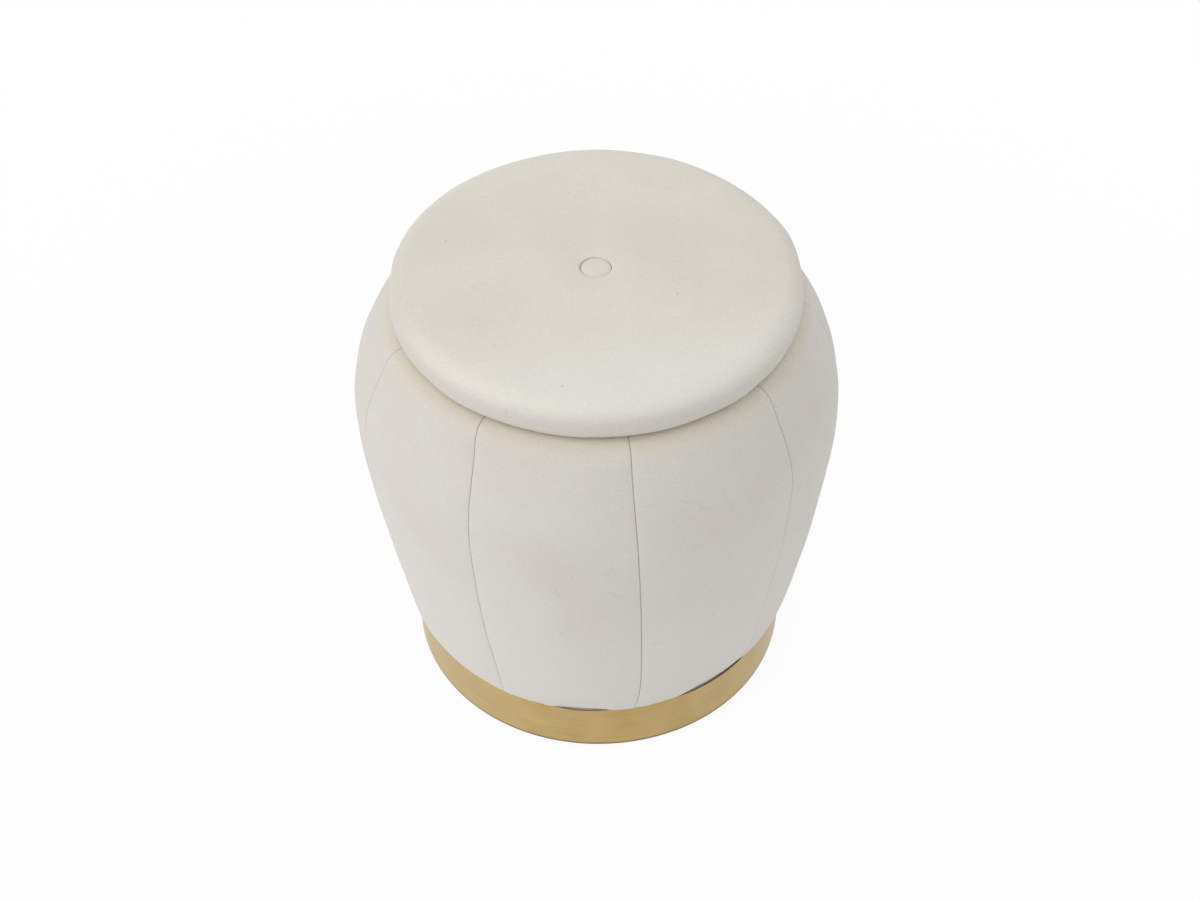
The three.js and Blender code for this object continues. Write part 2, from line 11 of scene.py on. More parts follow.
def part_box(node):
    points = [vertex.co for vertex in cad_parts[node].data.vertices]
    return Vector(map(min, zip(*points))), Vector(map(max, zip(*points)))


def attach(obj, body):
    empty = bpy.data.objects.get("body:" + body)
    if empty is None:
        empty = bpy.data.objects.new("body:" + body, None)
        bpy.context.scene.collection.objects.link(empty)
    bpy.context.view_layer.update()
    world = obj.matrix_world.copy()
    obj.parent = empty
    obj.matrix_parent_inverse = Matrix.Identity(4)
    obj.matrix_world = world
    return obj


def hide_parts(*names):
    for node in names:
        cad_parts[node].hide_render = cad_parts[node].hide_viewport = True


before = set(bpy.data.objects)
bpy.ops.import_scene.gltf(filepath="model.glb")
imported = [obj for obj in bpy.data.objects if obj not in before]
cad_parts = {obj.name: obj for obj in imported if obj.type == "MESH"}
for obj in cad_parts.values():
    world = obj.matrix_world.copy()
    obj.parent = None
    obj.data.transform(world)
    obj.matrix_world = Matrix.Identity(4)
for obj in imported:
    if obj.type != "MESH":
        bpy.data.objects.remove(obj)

scene = bpy.context.scene
bpy.context.view_layer.update()

# Lengths below are millimetres unless a name says otherwise; angles about +Z are counted
# from -Y towards +X.
MM = 0.001
TURN = 2 * math.pi

# ---------------- camera
# A normal lens held about a metre and a half above the floor and looking down at 45 degrees,
# turned a little to the left of the seam that faces -Y and rolled by half a degree.

CAMERA_AZIMUTH = math.radians(-9.5)
CAMERA_ELEVATION = math.radians(45.41)
CAMERA_DISTANCE = 1757.5
CAMERA_ROLL = math.radians(-0.46)
CAMERA_LENS = 55.4
AIM_HEIGHT = 223.1
AIM_RIGHT = 2.3


def in_scene(name, data):
    """New object in the scene."""
    item = bpy.data.objects.new(name, data)
    scene.collection.objects.link(item)
    return item


level = math.cos(CAMERA_ELEVATION)
outward = Vector((math.sin(CAMERA_AZIMUTH) * level, -math.cos(CAMERA_AZIMUTH) * level,
                  math.sin(CAMERA_ELEVATION)))
camera = in_scene("camera", bpy.data.cameras.new("camera"))
camera.data.lens = CAMERA_LENS
camera.data.sensor_width = 36
camera.rotation_mode = "QUATERNION"
facing = (-outward).to_track_quat("-Z", "Y")
camera.rotation_quaternion = facing @ Quaternion((0, 0, 1), CAMERA_ROLL)
aim = Vector((0, 0, AIM_HEIGHT)) + facing @ Vector((AIM_RIGHT, 0, 0))
camera.location = (aim + outward * CAMERA_DISTANCE) * MM
scene.camera = camera

# ---------------- floor, world and lamps
# A white studio floor that runs out to a white surround, lit by a big soft box on the left
# and by the room. The floor and the room show white to the camera and to the metal, and the
# floor keeps the ottoman's soft shadow, which fades away from it.

FLOOR_HALF = 9000
FLOOR_WHITE_SHARE = 0.94
FLOOR_FADE = (400, 1100)
ROOM_LIGHT = 0.76
SOFTBOX_POWER = 23
SOFTBOX_SIZE = 1800
SOFTBOX_PLACE = (-2500, -670, 2100)
WHITE = (1, 1, 1, 1)


def linear(colour):
    """Linear RGBA of an sRGB hex colour."""
    channels = [int(colour[i : i + 2], 16) / 255 for i in (1, 3, 5)]
    bent = [c / 12.92 if c <= 0.04045 else ((c + 0.055) / 1.055) ** 2.4 for c in channels]
    return (*bent, 1.0)


def add_node(tree, kind, inputs=(), output=0, **settings):
    """Adds a node with its settings, fills its sockets, in their order or by name or number,
    with values or links from other sockets, and gives back one of its outputs."""
    node = tree.nodes.new("ShaderNode" + kind)
    for key, value in settings.items():
        setattr(node, key, value)
    for key, value in inputs.items() if isinstance(inputs, dict) else enumerate(inputs):
        if isinstance(value, bpy.types.NodeSocket):
            tree.links.new(value, node.inputs[key])
        else:
            node.inputs[key].default_value = value
    return node.outputs[output] if len(node.outputs) else None


def emptied(owner):
    """Empties the node tree of a material or world, and gives back what adds a node to it."""
    owner.use_nodes = True
    owner.node_tree.nodes.clear()
    return partial(add_node, owner.node_tree)


def shown_white(add):
    """One where the camera, a reflection or a refraction looks, and nought for light."""
    seen = add("LightPath", output="Is Camera Ray")
    path = seen.node.outputs
    for ray in ("Is Glossy Ray", "Is Transmission Ray"):
        seen = add("Math", [seen, path[ray]], operation="MAXIMUM")
    return seen


sweep = bpy.data.materials.new("white_studio_floor")
add = emptied(sweep)
place = add("TexCoord", output="Object")
away = add("VectorMath", [place], "Value", operation="LENGTH")
share = add("MapRange", [away, FLOOR_FADE[0] * MM, FLOOR_FADE[1] * MM, FLOOR_WHITE_SHARE, 1.0],
            interpolation_type="SMOOTHSTEP")
share = add("Math", [shown_white(add), share], operation="MULTIPLY")
paint = add("BsdfDiffuse", {"Color": linear("#F7F7F7")})
glow = add("Emission", {"Color": WHITE, "Strength": 1.0})
blend = add("MixShader", [share, paint, glow])
add("OutputMaterial", {"Surface": blend})

corners = FLOOR_HALF * MM * np.array([(-1, -1, 0), (1, -1, 0), (1, 1, 0), (-1, 1, 0)])
floor = in_scene("floor", bpy.data.meshes.new("floor"))
floor.data.from_pydata(corners.tolist(), [], [(0, 1, 2, 3)])
floor.data.materials.append(sweep)

world = bpy.data.worlds.new("white_room")
scene.world = world
add = emptied(world)
strength = add("MapRange", [shown_white(add), 0.0, 1.0, ROOM_LIGHT, 1.0])
room = add("Background", {"Color": WHITE, "Strength": strength})
add("OutputWorld", {"Surface": room})

softbox = in_scene("softbox", bpy.data.lights.new("softbox", "AREA"))
softbox.data.energy = SOFTBOX_POWER
softbox.data.size = SOFTBOX_SIZE * MM
softbox.data.color = linear("#FFFDF8")[:3]
softbox.location = Vector(SOFTBOX_PLACE) * MM
softbox.rotation_mode = "QUATERNION"
softbox.rotation_quaternion = (-softbox.location).to_track_quat("-Z", "Y")

scene.view_settings.view_transform = "Standard"

# ---------------- glides and wood screws
# Four moulded black plastic glides hold the ottoman 3 mm off the floor. Each is fixed up into
# the bottom board by a zinc-plated countersunk wood screw.

GLIDE_CIRCLE = 162
GLIDE_RADIUS, GLIDE_TAPER = 12, 0.3
GLIDE_HEIGHT = 2.7
GLIDE_BORE, GLIDE_HOLE = 4.1, 2.3
GLIDE_CONE = (0.45, 2.2)
GLIDE_EDGES = [0.15, 0.8, 0.3, 0.12, 0.12, 0.12]
GLIDE_SCREW_LENGTH = 16
GLIDE_SCREW_SEAT = 0.5
SCREW_HEAD = 3.8
SCREW_SHANK = 1.9
SCREW_LIP, SCREW_LIP_HEIGHT = 0.15, 0.3
THREAD_PITCH = 1.6
THREAD_DEPTH = 0.45
RECESS_HALF_WIDTH, RECESS_REACH, RECESS_DEPTH = 0.55, 2.1, 1.3


def quads_over(index):
    """Quads that join each row of a grid of point numbers to the next, and each column."""
    return np.stack([index[..., :-1, :-1], index[..., :-1, 1:],
                     index[..., 1:, 1:], index[..., 1:, :-1]], -1).reshape(-1, 4)


def surface(name, points, material, slot, *nodes, body="ottoman_body"):
    """New piece on a body, with its material, in place of some CAD nodes: a
    closed smooth mesh over a grid of points in millimetres, or over a stack of such grids.
    The record slot argument is not used.

    Points that coincide, at a pole, a folded edge or where a grid comes round to its start,
    become one. The faces are turned so that the volume inside is positive. The UV map is the
    distance in metres along the columns and down the rows.
    """
    points = np.asarray(points, float) * MM
    stack = points if points.ndim == 4 else points[None]
    index = np.arange(stack[..., 0].size).reshape(stack.shape[:3])
    quads = quads_over(index)
    flat = stack.reshape(-1, 3)
    a, b, c, d = (flat[quads[:, k]] for k in range(4))
    volume = np.sum(a * np.cross(b, c)) + np.sum(a * np.cross(c, d))
    if volume < 0:
        quads = quads[:, ::-1]
    mesh = bpy.data.meshes.new(name)
    mesh.from_pydata(flat, [], quads.tolist())
    along = np.linalg.norm(np.diff(stack, axis=2), axis=3).max(axis=(0, 1))
    down = np.linalg.norm(np.diff(stack, axis=1), axis=3).max(axis=(0, 2))
    u = np.broadcast_to(np.append(0, np.cumsum(along)), index.shape)
    v = np.broadcast_to(np.append(0, np.cumsum(down))[:, None], index.shape)
    layer = mesh.uv_layers.new(name="lengths")
    layer.data.foreach_set("uv", np.stack([u, v], -1).reshape(-1, 2)[quads].ravel())
    joined = bmesh.new()
    joined.from_mesh(mesh)
    bmesh.ops.remove_doubles(joined, verts=joined.verts, dist=2e-6)
    joined.to_mesh(mesh)
    joined.free()
    mesh.shade_smooth()
    mesh.materials.append(material)
    piece = in_scene(name, mesh)
    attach(piece, body)
    if nodes:
        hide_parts(*nodes)
    return piece


def turned(radius, height, angle):
    """Points at a radius, a height and an angle about +Z: x is the radius times the sine, and
    y is less the radius times the cosine."""
    radius, height, angle = np.broadcast_arrays(radius, height, angle)
    return np.stack([radius * np.sin(angle), -radius * np.cos(angle), height], -1)


def lathe(profile, columns):
    """Grid of a profile of (radius, height) carried round +Z, back to its start."""
    radius, height = np.asarray(profile, float).T[:, :, None]
    return turned(radius, height, np.linspace(0, TURN, columns + 1))


def around_circle(count, radius):
    """Places on a circle, half a step from -Y on, as rows of x, y, 0."""
    return turned(radius, 0, (np.arange(count) + 0.5) * TURN / count)


def unit(rows):
    """Each row made one long."""
    return rows / np.linalg.norm(rows, axis=1)[:, None]


def soften(corners, radius, closed=True, steps=5):
    """Profile with its corners rounded by quadratic curves that start and end a radius away,
    and one more point on each side that keeps the flats flat. An open one keeps its ends."""
    corners = np.asarray(corners, float)
    back, ahead = (unit(np.roll(corners, k, axis=0) - corners)[:, None] for k in (1, -1))
    radius = np.broadcast_to(radius, len(corners))[:, None, None]
    t = np.linspace(0, 1, steps)[None, :, None]
    arc = (1 - t) ** 2 * back + t**2 * ahead
    offsets = np.concatenate([1.4 * back, arc, 1.4 * ahead], axis=1)
    rounded = corners[:, None] + radius * offsets
    if closed:
        loop = rounded.reshape(-1, 2)
        return np.vstack([loop, loop[:1]])
    return np.vstack([corners[:1], rounded[1:-1].reshape(-1, 2), corners[-1:]])


def wood_screw(length):
    """Grid of a countersunk screw standing head down on the origin. The profile goes from a
    cross recess over the cone to the tip. The thread is cut by how far each point is round
    the turn from the crest, which climbs one pitch a turn."""
    face = np.linspace(0, SCREW_HEAD - SCREW_LIP, 14)
    lip = SCREW_HEAD - SCREW_LIP * np.array([0.4, 0, 0])
    cone = np.linspace(SCREW_HEAD, SCREW_SHANK, 5)[1:]
    neck = SCREW_HEAD - SCREW_SHANK + SCREW_LIP_HEIGHT
    tip = length - 2 * SCREW_SHANK
    thread = np.linspace(neck + 0.4, tip, int((tip - neck) / THREAD_PITCH * 6))
    end = np.linspace(tip, length, 8)[1:]
    radius = np.concatenate([face, lip, cone, 0 * thread + SCREW_SHANK, (length - end) / 2])
    height = np.concatenate([0 * face, SCREW_LIP_HEIGHT * np.array([1 / 6, 1 / 2, 1]),
                             neck + SCREW_SHANK - cone, thread, end])
    radius, height = radius[:, None], height[:, None]
    angle = np.linspace(0, TURN, 49)
    turn = (height / THREAD_PITCH - angle / TURN) % 1
    cut = THREAD_DEPTH * np.abs(2 * turn - 1) ** 0.7
    cut = np.where(height > neck + 0.3, np.minimum(cut, 0.4 * radius), 0)
    points = turned(radius - cut, height, angle)
    on_cross = np.abs(points[..., :2]).min(axis=-1) < RECESS_HALF_WIDTH
    on_face = (height == 0) & (radius < RECESS_REACH)
    sunk = RECESS_DEPTH * np.clip(1.2 - radius / RECESS_REACH, 0, 1)
    points[..., 2] += np.where(on_cross & on_face, sunk, 0)
    return points


def finish_of(name, **sockets):
    """New material with its shader's sockets set by name, what adds a node to it, and its
    Object coordinates."""
    material = bpy.data.materials.new(name)
    material.use_nodes = True
    shader = material.node_tree.nodes["Principled BSDF"]
    for key, value in sockets.items():
        shader.inputs[key.replace("_", " ")].default_value = value
    add = partial(add_node, material.node_tree)
    return material, add, add("TexCoord", output="Object")


def mottled(name, size, darker, paler, grain=None, **sockets):
    """New material whose tone runs from darker to paler with a noise of a size in mm and any
    other settings of its grain, what adds a node to it, the noise and the tone."""
    material, add, place = finish_of(name, **sockets)
    noise = add("TexNoise", {"Vector": place, "Scale": 1 / (size * MM), **(grain or {})})
    tone = add("Mix", {0: noise, 6: linear(darker), 7: linear(paler)}, 2, data_type="RGBA")
    return material, add, noise, tone


def dress(material, colour, *reliefs, roughness=None):
    """Links a colour, reliefs, and a roughness where that varies, to a material's shader. A
    relief is a height from nought to one and its depth in mm."""
    tree = material.node_tree
    links = {"Base Color": colour}
    if roughness is not None:
        links["Roughness"] = roughness
    for height, depth in reliefs:
        bump = {"Height": height, "Distance": depth * MM}
        if "Normal" in links:
            bump["Normal"] = links["Normal"]
        links["Normal"] = add_node(tree, "Bump", bump)
    for key, socket in links.items():
        tree.links.new(socket, tree.nodes["Principled BSDF"].inputs[key])


# Injection-moulded polypropylene: a dull black with a fine spark-eroded grain.
black_plastic, add, grain, tone = mottled("moulded_black_polypropylene", 0.6, "#19191B",
                                          "#29292B", {"Detail": 3.0}, IOR=1.49)
dress(black_plastic, tone, (grain, 0.04),
      roughness=add("MapRange", [grain, 0.0, 1.0, 0.42, 0.6]))

# Zinc-plated steel: a cool grey metal, slightly cloudy from the plating bath.
zinc_steel, add, cloud, tone = mottled("zinc_plated_steel", 2.5, "#9FA3A8", "#C4C6C6",
                                       {"Detail": 4.0}, Metallic=1.0)
dress(zinc_steel, tone, roughness=add("MapRange", [cloud, 0.0, 1.0, 0.24, 0.42]))

glide_loop = soften([(GLIDE_BORE, 0), (GLIDE_RADIUS, 0),
                     (GLIDE_RADIUS - GLIDE_TAPER, GLIDE_HEIGHT), (GLIDE_HOLE, GLIDE_HEIGHT),
                     (GLIDE_HOLE, GLIDE_CONE[1]), (GLIDE_BORE, GLIDE_CONE[0])], GLIDE_EDGES)
glide_screw = wood_screw(GLIDE_SCREW_LENGTH)
for number, spot in enumerate(around_circle(4, GLIDE_CIRCLE), 1):
    surface(f"plastic_glide_{number}", lathe(glide_loop, 64) + spot, black_plastic,
            "black_plastic", f"glide_{number}")
    surface(f"glide_fixing_{number}", glide_screw + spot + (0, 0, GLIDE_SCREW_SEAT), zinc_steel,
            "screw_steel", f"glide_screw_{number}")

# ---------------- base band
# A strip of brass-finished steel, rolled to a ring with its lower edge turned in under the
# bottom board. The ends meet in a fine upright joint at the back, over a steel plate.

BAND_SHEET = 1.2
BAND_FLANGE = 34
BAND_CORNER = 2.4
BAND_JOINT = 0.6
BAND_COLUMNS = 360
BAND_WAVE = 0.35
BAND_BULGE = 1.1
LOOSE_SPOTS = [(-14.5, 9), (28, 15)]  # each an angle and a half width, in degrees
WAVE_COUNT = 14


def refinish(material, *nodes):
    """Gives CAD nodes their material."""
    for node in nodes:
        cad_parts[node].material_slots[0].material = material


def reach(node):
    """Outer radius, bottom and top of a round CAD node on the axis."""
    low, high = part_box(node)
    return high[0] / MM, low[2] / MM, high[2] / MM


def waves(points, *layers):
    """Smooth random field. Each layer, given by its size, wavelength and seed, adds up sine
    waves of about that length, give or take a third, in random directions."""
    field = 0
    for size, wavelength, seed in layers:
        rng = np.random.default_rng(seed)
        direction = unit(rng.normal(size=(WAVE_COUNT, 3)))
        number = TURN / wavelength * rng.uniform(0.7, 1.35, (WAVE_COUNT, 1))
        phase = rng.uniform(0, TURN, WAVE_COUNT)
        swing = np.sin(points @ (direction * number).T + phase).sum(-1)
        field = field + size * swing / math.sqrt(WAVE_COUNT)
    return field


def spaced(path, step, edge=0.0):
    """Points every step along a path, closer at its ends where an edge of that radius is
    rounded, the unit normals on its right-hand side, and how far along each point lies."""
    path = np.asarray(path, float)
    gap = np.linalg.norm(np.diff(path, axis=0), axis=1)
    far = np.append(0, np.cumsum(gap))
    quarter = edge * (1 - np.cos(np.linspace(0, math.pi / 2, 5))) if edge else np.zeros(1)
    end = quarter[-1]
    count = max(3, int(round((far[-1] - 2 * end) / step)) + 1)
    run = np.linspace(end, far[-1] - end, count)
    at = np.concatenate([quarter[:-1], run, (far[-1] - quarter[:-1])[::-1]])
    behind, points, ahead = (
        np.stack([np.interp(at + shift, far, path[:, k]) for k in (0, 1)], -1)
        for shift in (-0.3, 0, 0.3))
    tangent = unit(ahead - behind)
    return points, np.stack([tangent[:, 1], -tangent[:, 0]], -1), at


def edge_share(distance, radius):
    """Share of the full thickness this far from a rounded edge: a quarter circle."""
    return np.sqrt(1 - (1 - np.clip(distance / radius, 0, 1)) ** 2)


def ribbon(path, thickness, step):
    """Closed profile of a sheet whose right-hand side follows a path, with round edges."""
    points, normal, at = spaced(path, step, thickness / 2)
    half = thickness / 2 * edge_share(np.minimum(at, at[-1] - at), thickness / 2)[:, None]
    middle = points - thickness / 2 * normal
    return np.vstack([middle + half * normal, (middle - half * normal)[::-1]])


def turn_from(angle, degrees):
    """Angle from a direction in degrees, by the shorter way round."""
    return np.angle(np.exp(1j * (angle - math.radians(degrees))))


def looseness(angle):
    """One at each spot where cloth and strip stand apart, and nought outside its width: one
    less the fourth power of the share of the width, squared."""
    return sum((1 - np.clip(np.abs(turn_from(angle, spot)) / math.radians(width), 0, 1) ** 4) ** 2
               for spot, width in LOOSE_SPOTS)


def band_strip():
    """Closed grid of the strip: the profile of its turned-in edge and wall, carried from one
    side of the joint round to the other. The wall sways in long waves, more towards the top,
    and stands out at its loose spots. The cut ends are closed on the middle of the sheet."""
    path = soften([(band_radius - BAND_FLANGE, band_bottom), (band_radius, band_bottom),
                   (band_radius, band_top)], BAND_CORNER, closed=False, steps=16)
    radius, height = ribbon(path, BAND_SHEET, 1.6).T[:, :, None]
    joint = BAND_JOINT / 2 / band_radius
    angle = np.linspace(math.pi + joint, math.pi + TURN - joint, BAND_COLUMNS + 1)
    angle = np.concatenate([angle[:1], angle, angle[-1:]])
    sway = waves(turned(band_radius, 0, angle), (BAND_WAVE, 150, 5), (0.1, 45, 6))
    wall = np.clip((radius - band_radius + BAND_FLANGE) / BAND_FLANGE, 0, 1) ** 6
    lift = (height - band_bottom) / (band_top - band_bottom)
    bulge = BAND_BULGE * looseness(angle) * np.clip(lift, 0, 1) ** 3
    grid = turned(radius + bulge + sway * wall * (0.35 + 0.65 * lift), height, angle)
    for end in (0, -1):
        grid[:, end] = (grid[:, end] + grid[::-1, end]) / 2
    return grid


# Brass-plated steel with a satin brushing that runs round the strip: fine streaks about
# 0.3 mm apart, drawn up to 1.5 mm so that they show, and a faint handling haze. The plating
# is painted a little paler towards -X, a painted reflection of the brighter light on that side,
# and darker along the bend at its lower edge, a painted shade next to the floor.
gold, add, place = finish_of("brushed_brass_plating", Metallic=1.0)
lengths = add("UVMap", uv_map="lengths")
round_strip = add("Mapping", {0: lengths, 3: (1 / (90 * MM), 1 / (1.5 * MM), 1)})
streak = add("TexNoise", {"Vector": round_strip, "Scale": 1.0, "Detail": 5.0,
                          "Roughness": 0.65})
haze = add("TexNoise", {"Vector": place, "Scale": 1 / (45 * MM), "Detail": 3.0})
along = add("SeparateXYZ", [place]).node.outputs
# Painted reflection: the plating made paler towards -X, where the light is brighter.
paler = add("MapRange", [along["X"], 30 * MM, -130 * MM, -0.12, 0.22])
share = add("Math", [streak, haze], operation="ADD")
share = add("Math", [share, paler], operation="ADD")
share = add("MapRange", [share, 0.7, 1.3])
# Painted shade: the plating made darker along its lower edge, next to the floor.
bent = add("MapRange", [along["Z"], 7.8 * MM, 5.2 * MM, 0.0, 0.9])
tone = linear("#AF965F")
for amount, colour in ((share, "#C8AE78"), (bent, "#66563C")):
    tone = add("Mix", {0: amount, 6: tone, 7: linear(colour)}, 2, data_type="RGBA")
wear = add("Math", [streak, haze], operation="MULTIPLY")
dress(gold, tone, (streak, 0.012), roughness=add("MapRange", [wear, 0.0, 0.5, 0.24, 0.46]))

band_radius, band_bottom, band_top = reach("base_band")
surface("gold_base_band", band_strip(), gold, "gold_band", "base_band")
refinish(zinc_steel, "band_joint_plate")

# ---------------- bottom board and frame
# A dust cover of black spunbond under a birch plywood bottom board, a bent ply hoop, and the
# frame above: three ply rings and nine ply ribs with a steel screw down into each, wrapped in
# a thin fibreboard shell. Routed from sheet, so the plies show along every edge.

PANELS = 9

# Birch plywood: pale figured veneer on the faces; along the edges 1.4 mm plies that turn
# from light to dark with the grain's direction.
birch, add, place = finish_of("birch_plywood", Roughness=0.62, IOR=1.5)
long_grain = add("Mapping", {0: place, 3: (1 / (60 * MM), 1 / (3.5 * MM), 1 / (60 * MM))})
figure = add("TexNoise", {"Vector": long_grain, "Scale": 1.0, "Detail": 6.0,
                          "Distortion": 0.6})
fibres = add("TexNoise", {"Vector": place, "Scale": 1 / (1.2 * MM), "Detail": 3.0})
plies = add("SeparateXYZ", [place], "Z")
plies = add("Math", [plies, TURN / 2 / (1.4 * MM)], operation="MULTIPLY")
plies = add("Math", [plies], operation="SINE")
plies = add("MapRange", [plies, -0.25, 0.25])
plies = add("Math", [plies, fibres], operation="MULTIPLY")
upright = add("NewGeometry", output="True Normal")
upright = add("SeparateXYZ", [upright], "Z")
upright = add("Math", [upright], operation="ABSOLUTE")
flatness = add("MapRange", [upright, 0.5, 0.7])
veneer, edge = (
    add("Mix", {0: share, 6: linear(darker), 7: linear(paler)}, 2, data_type="RGBA")
    for share, darker, paler in ((figure, "#B98F5C", "#E3C79A"), (plies, "#A87C4B", "#DDBE8E")))
tone = add("Mix", {0: flatness, 6: edge, 7: veneer}, 2, data_type="RGBA")
dress(birch, tone, (fibres, 0.08))

# Hardboard: warm brown pressed fibres, a few tenths of a millimetre long, drawn at 1.5 mm.
hardboard, _, fibres, tone = mottled("pressed_fibreboard", 1.5, "#6F5234", "#A98660",
                                     {"Detail": 5.0, "Roughness": 0.7}, Roughness=0.8, IOR=1.5)
dress(hardboard, tone, (fibres, 0.12))

# Spunbond dust cloth: black felted fibre with a grid of heat-bonded dots 2.5 mm apart.
spunbond, add, fibres, tone = mottled("black_spunbond", 0.8, "#1C1C1F", "#35353A",
                                      {"Detail": 4.0}, Roughness=0.9, Sheen_Weight=0.15,
                                      Sheen_Roughness=0.5)
place = add("TexCoord", output="Object")
dots = add("TexVoronoi", {"Vector": place, "Scale": 1 / (2.5 * MM), "Randomness": 0.0})
dress(spunbond, tone, (dots, 0.25), (fibres, 0.1))

refinish(birch, "bottom_board", "plinth_hoop", "base_ring", "mid_ring", "top_ring", "lid_board")
refinish(hardboard, "frame_shell")
refinish(spunbond, "dust_cover")
for number in range(1, PANELS + 1):
    refinish(birch, f"rib_{number}")
    refinish(zinc_steel, f"rib_screw_{number}")

# ---------------- foam wrap
# An 18 mm sheet of polyurethane foam glued round the shell, thinner towards the band and the
# rim, and pulled in a little along each seam by the cover.

VELVET = 1.6
FOAM_EASE = 2.3
SEAM_PULL = 2.2
HEM_BOTTOM = 45
FOOT_OVERHANG, FOOT_RISE, FOOT_LEAN = 6.9, 10.4, 0.25
BULGE_HEIGHT = 317.8
SHOULDER_OUT, SHOULDER_DROP, SHOULDER_LEAN = 27, 21, 0.51
FLARE_HANDLES, CLOSE_HANDLES = (0.12, 0.3), (0.47, 0.16)
RIM_RADIUS = 172.1
RIM_MARGIN = 5
FLAP_RADIUS = 151.2
FLAP_BOTTOM = 399.5
FLAP_FOLD = 2.5
FOOT_SLACK, SLACK_TOP = 2.3, 97
HEM_SLACK = 0.8
GLUE_GAP = 0.4
SHELL_FOOT_RADIUS = 179.6
SHELL_HANDLES = (134, 186.5, 357.5)
TOP_RING_SIDE = 171.5

bulge_radius, rim_height = (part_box("velvet_panel_5")[1][axis] / MM for axis in (1, 2))
hem_radius = band_radius - BAND_SHEET - 0.3


def bezier(controls, count=40):
    """Points along a Bezier curve: neighbouring control points are blended again and again."""
    t = np.linspace(0, 1, count)[:, None]
    rows = [np.asarray(p, float) for p in controls]
    while len(rows) > 1:
        rows = [(1 - t) * p + t * q for p, q in zip(rows, rows[1:])]
    return rows[0]


def smoothstep(value, low, high):
    """Rises from nought at low to one at high with a level start and end."""
    t = np.clip((value - low) / (high - low), 0, 1)
    return t * t * (3 - 2 * t)


def cover_outline():
    """Outside of the velvet: straight up inside the band, a roll out over its edge, the
    flare to the bulge, the closing curve to the shoulder, the turn on to the flat rim, and a
    fold down inside the top ring."""
    foot = np.array((band_radius + FOOT_OVERHANG, band_top + FOOT_RISE))
    bulge = np.array((bulge_radius, BULGE_HEIGHT))
    shoulder = np.array((RIM_RADIUS + SHOULDER_OUT, rim_height - SHOULDER_DROP))
    flare, close = bulge[1] - foot[1], shoulder[1] - bulge[1]
    start = (hem_radius, band_top + 0.3)
    fold = FLAP_RADIUS + FLAP_FOLD
    path = np.vstack([
        [(hem_radius, HEM_BOTTOM), start],
        bezier([start, (foot[0] - FOOT_LEAN * FOOT_RISE, band_top + 1.3), foot]),
        bezier([foot, foot + FLARE_HANDLES[0] * flare * np.array((FOOT_LEAN, 1)),
                bulge - (0, FLARE_HANDLES[1] * flare), bulge], 90),
        bezier([bulge, bulge + (0, CLOSE_HANDLES[0] * close),
                shoulder + CLOSE_HANDLES[1] * close * np.array((SHOULDER_LEAN, -1)),
                shoulder], 60),
        bezier([shoulder, (shoulder[0] - SHOULDER_LEAN * SHOULDER_DROP, rim_height),
                (RIM_RADIUS, rim_height)]),
        bezier([(fold, rim_height), (FLAP_RADIUS, rim_height),
                (FLAP_RADIUS, rim_height - FLAP_FOLD)], 10),
        [(FLAP_RADIUS, FLAP_BOTTOM)],
    ])
    keep = np.append(True, np.linalg.norm(np.diff(path, axis=0), axis=1) > 1e-6)
    return path[keep]


def pull_share(radius, height):
    """Share of the seams' pull: none at the band, on the rim and inside it."""
    return (smoothstep(height, band_top, band_top + FOOT_RISE)
            * (radius > RIM_RADIUS - RIM_MARGIN)
            * smoothstep(rim_height - height, 0, SHOULDER_DROP))


def foot_slack(angle, height):
    """How far the cover stands in from its outline where it is loose at the foot."""
    slack = FOOT_SLACK * smoothstep(height, SLACK_TOP, band_top + 3)
    return looseness(angle) * np.where(height > band_top, slack, HEM_SLACK)


def seam_share(angle):
    """One at a seam and nought midway between two."""
    return np.abs(2 * ((angle * PANELS / TURN) % 1) - 1)


def foam_sheet():
    """Closed grid of the foam, between a line inside the cover and the shell's outer line.
    The outer rows are drawn in by the fifth power of the share of the way to a seam."""
    points, normals, _ = spaced(outline, 3.0)
    under = points - (VELVET + FOAM_EASE) * normals
    under = under[(points[:, 1] > band_top + 4) & (points[:, 0] > RIM_RADIUS - 1)]
    shell_radius, shell_bottom, shell_top = reach("frame_shell")
    widest = shell_radius + GLUE_GAP
    low, middle, high = SHELL_HANDLES
    shell = np.vstack([
        bezier([(SHELL_FOOT_RADIUS, shell_bottom), (SHELL_FOOT_RADIUS, low), (widest, middle),
                (widest, BULGE_HEIGHT)], 60),
        bezier([(widest, BULGE_HEIGHT), (widest, high), (TOP_RING_SIDE, shell_top)])[1:],
        [(TOP_RING_SIDE, under[-1, 1])],
    ])
    shell = shell[shell[:, 1] >= under[0, 1]]
    radius, height = np.vstack([under, shell[::-1], under[:1]]).T[:, :, None]
    outer_row = np.ones_like(radius)
    outer_row[len(under) : -1] = 0
    angle = np.linspace(0, TURN, PANELS * 20 + 1)
    pull = SEAM_PULL * seam_share(angle) ** 5 * pull_share(radius, height)
    return turned(radius - (pull + foot_slack(angle, height)) * outer_row, height, angle)


# Polyurethane foam: pale yellow, with open cells under a millimetre across.
foam, add, _, tone = mottled("open_cell_foam", 40, "#E9DDB4", "#F4EBCB", Roughness=0.95,
                             Subsurface_Weight=0.1, Subsurface_Scale=0.004)
place = add("TexCoord", output="Object")
cells = add("TexVoronoi", {"Vector": place, "Scale": 1 / (0.9 * MM)})
dress(foam, tone, (cells, 0.3))

outline = cover_outline()
foam_wrap = surface("body_foam", foam_sheet(), foam, "foam", "foam_wrap")

# ---------------- velvet cover
# Nine gores of short-pile polyester velvet, joined by plain seams sewn from the back. The
# cover is drawn over the foam, tucked inside the band at the foot, and turned over the rim
# and stapled inside the top ring. Each seam lies in a narrow groove with small puckers.

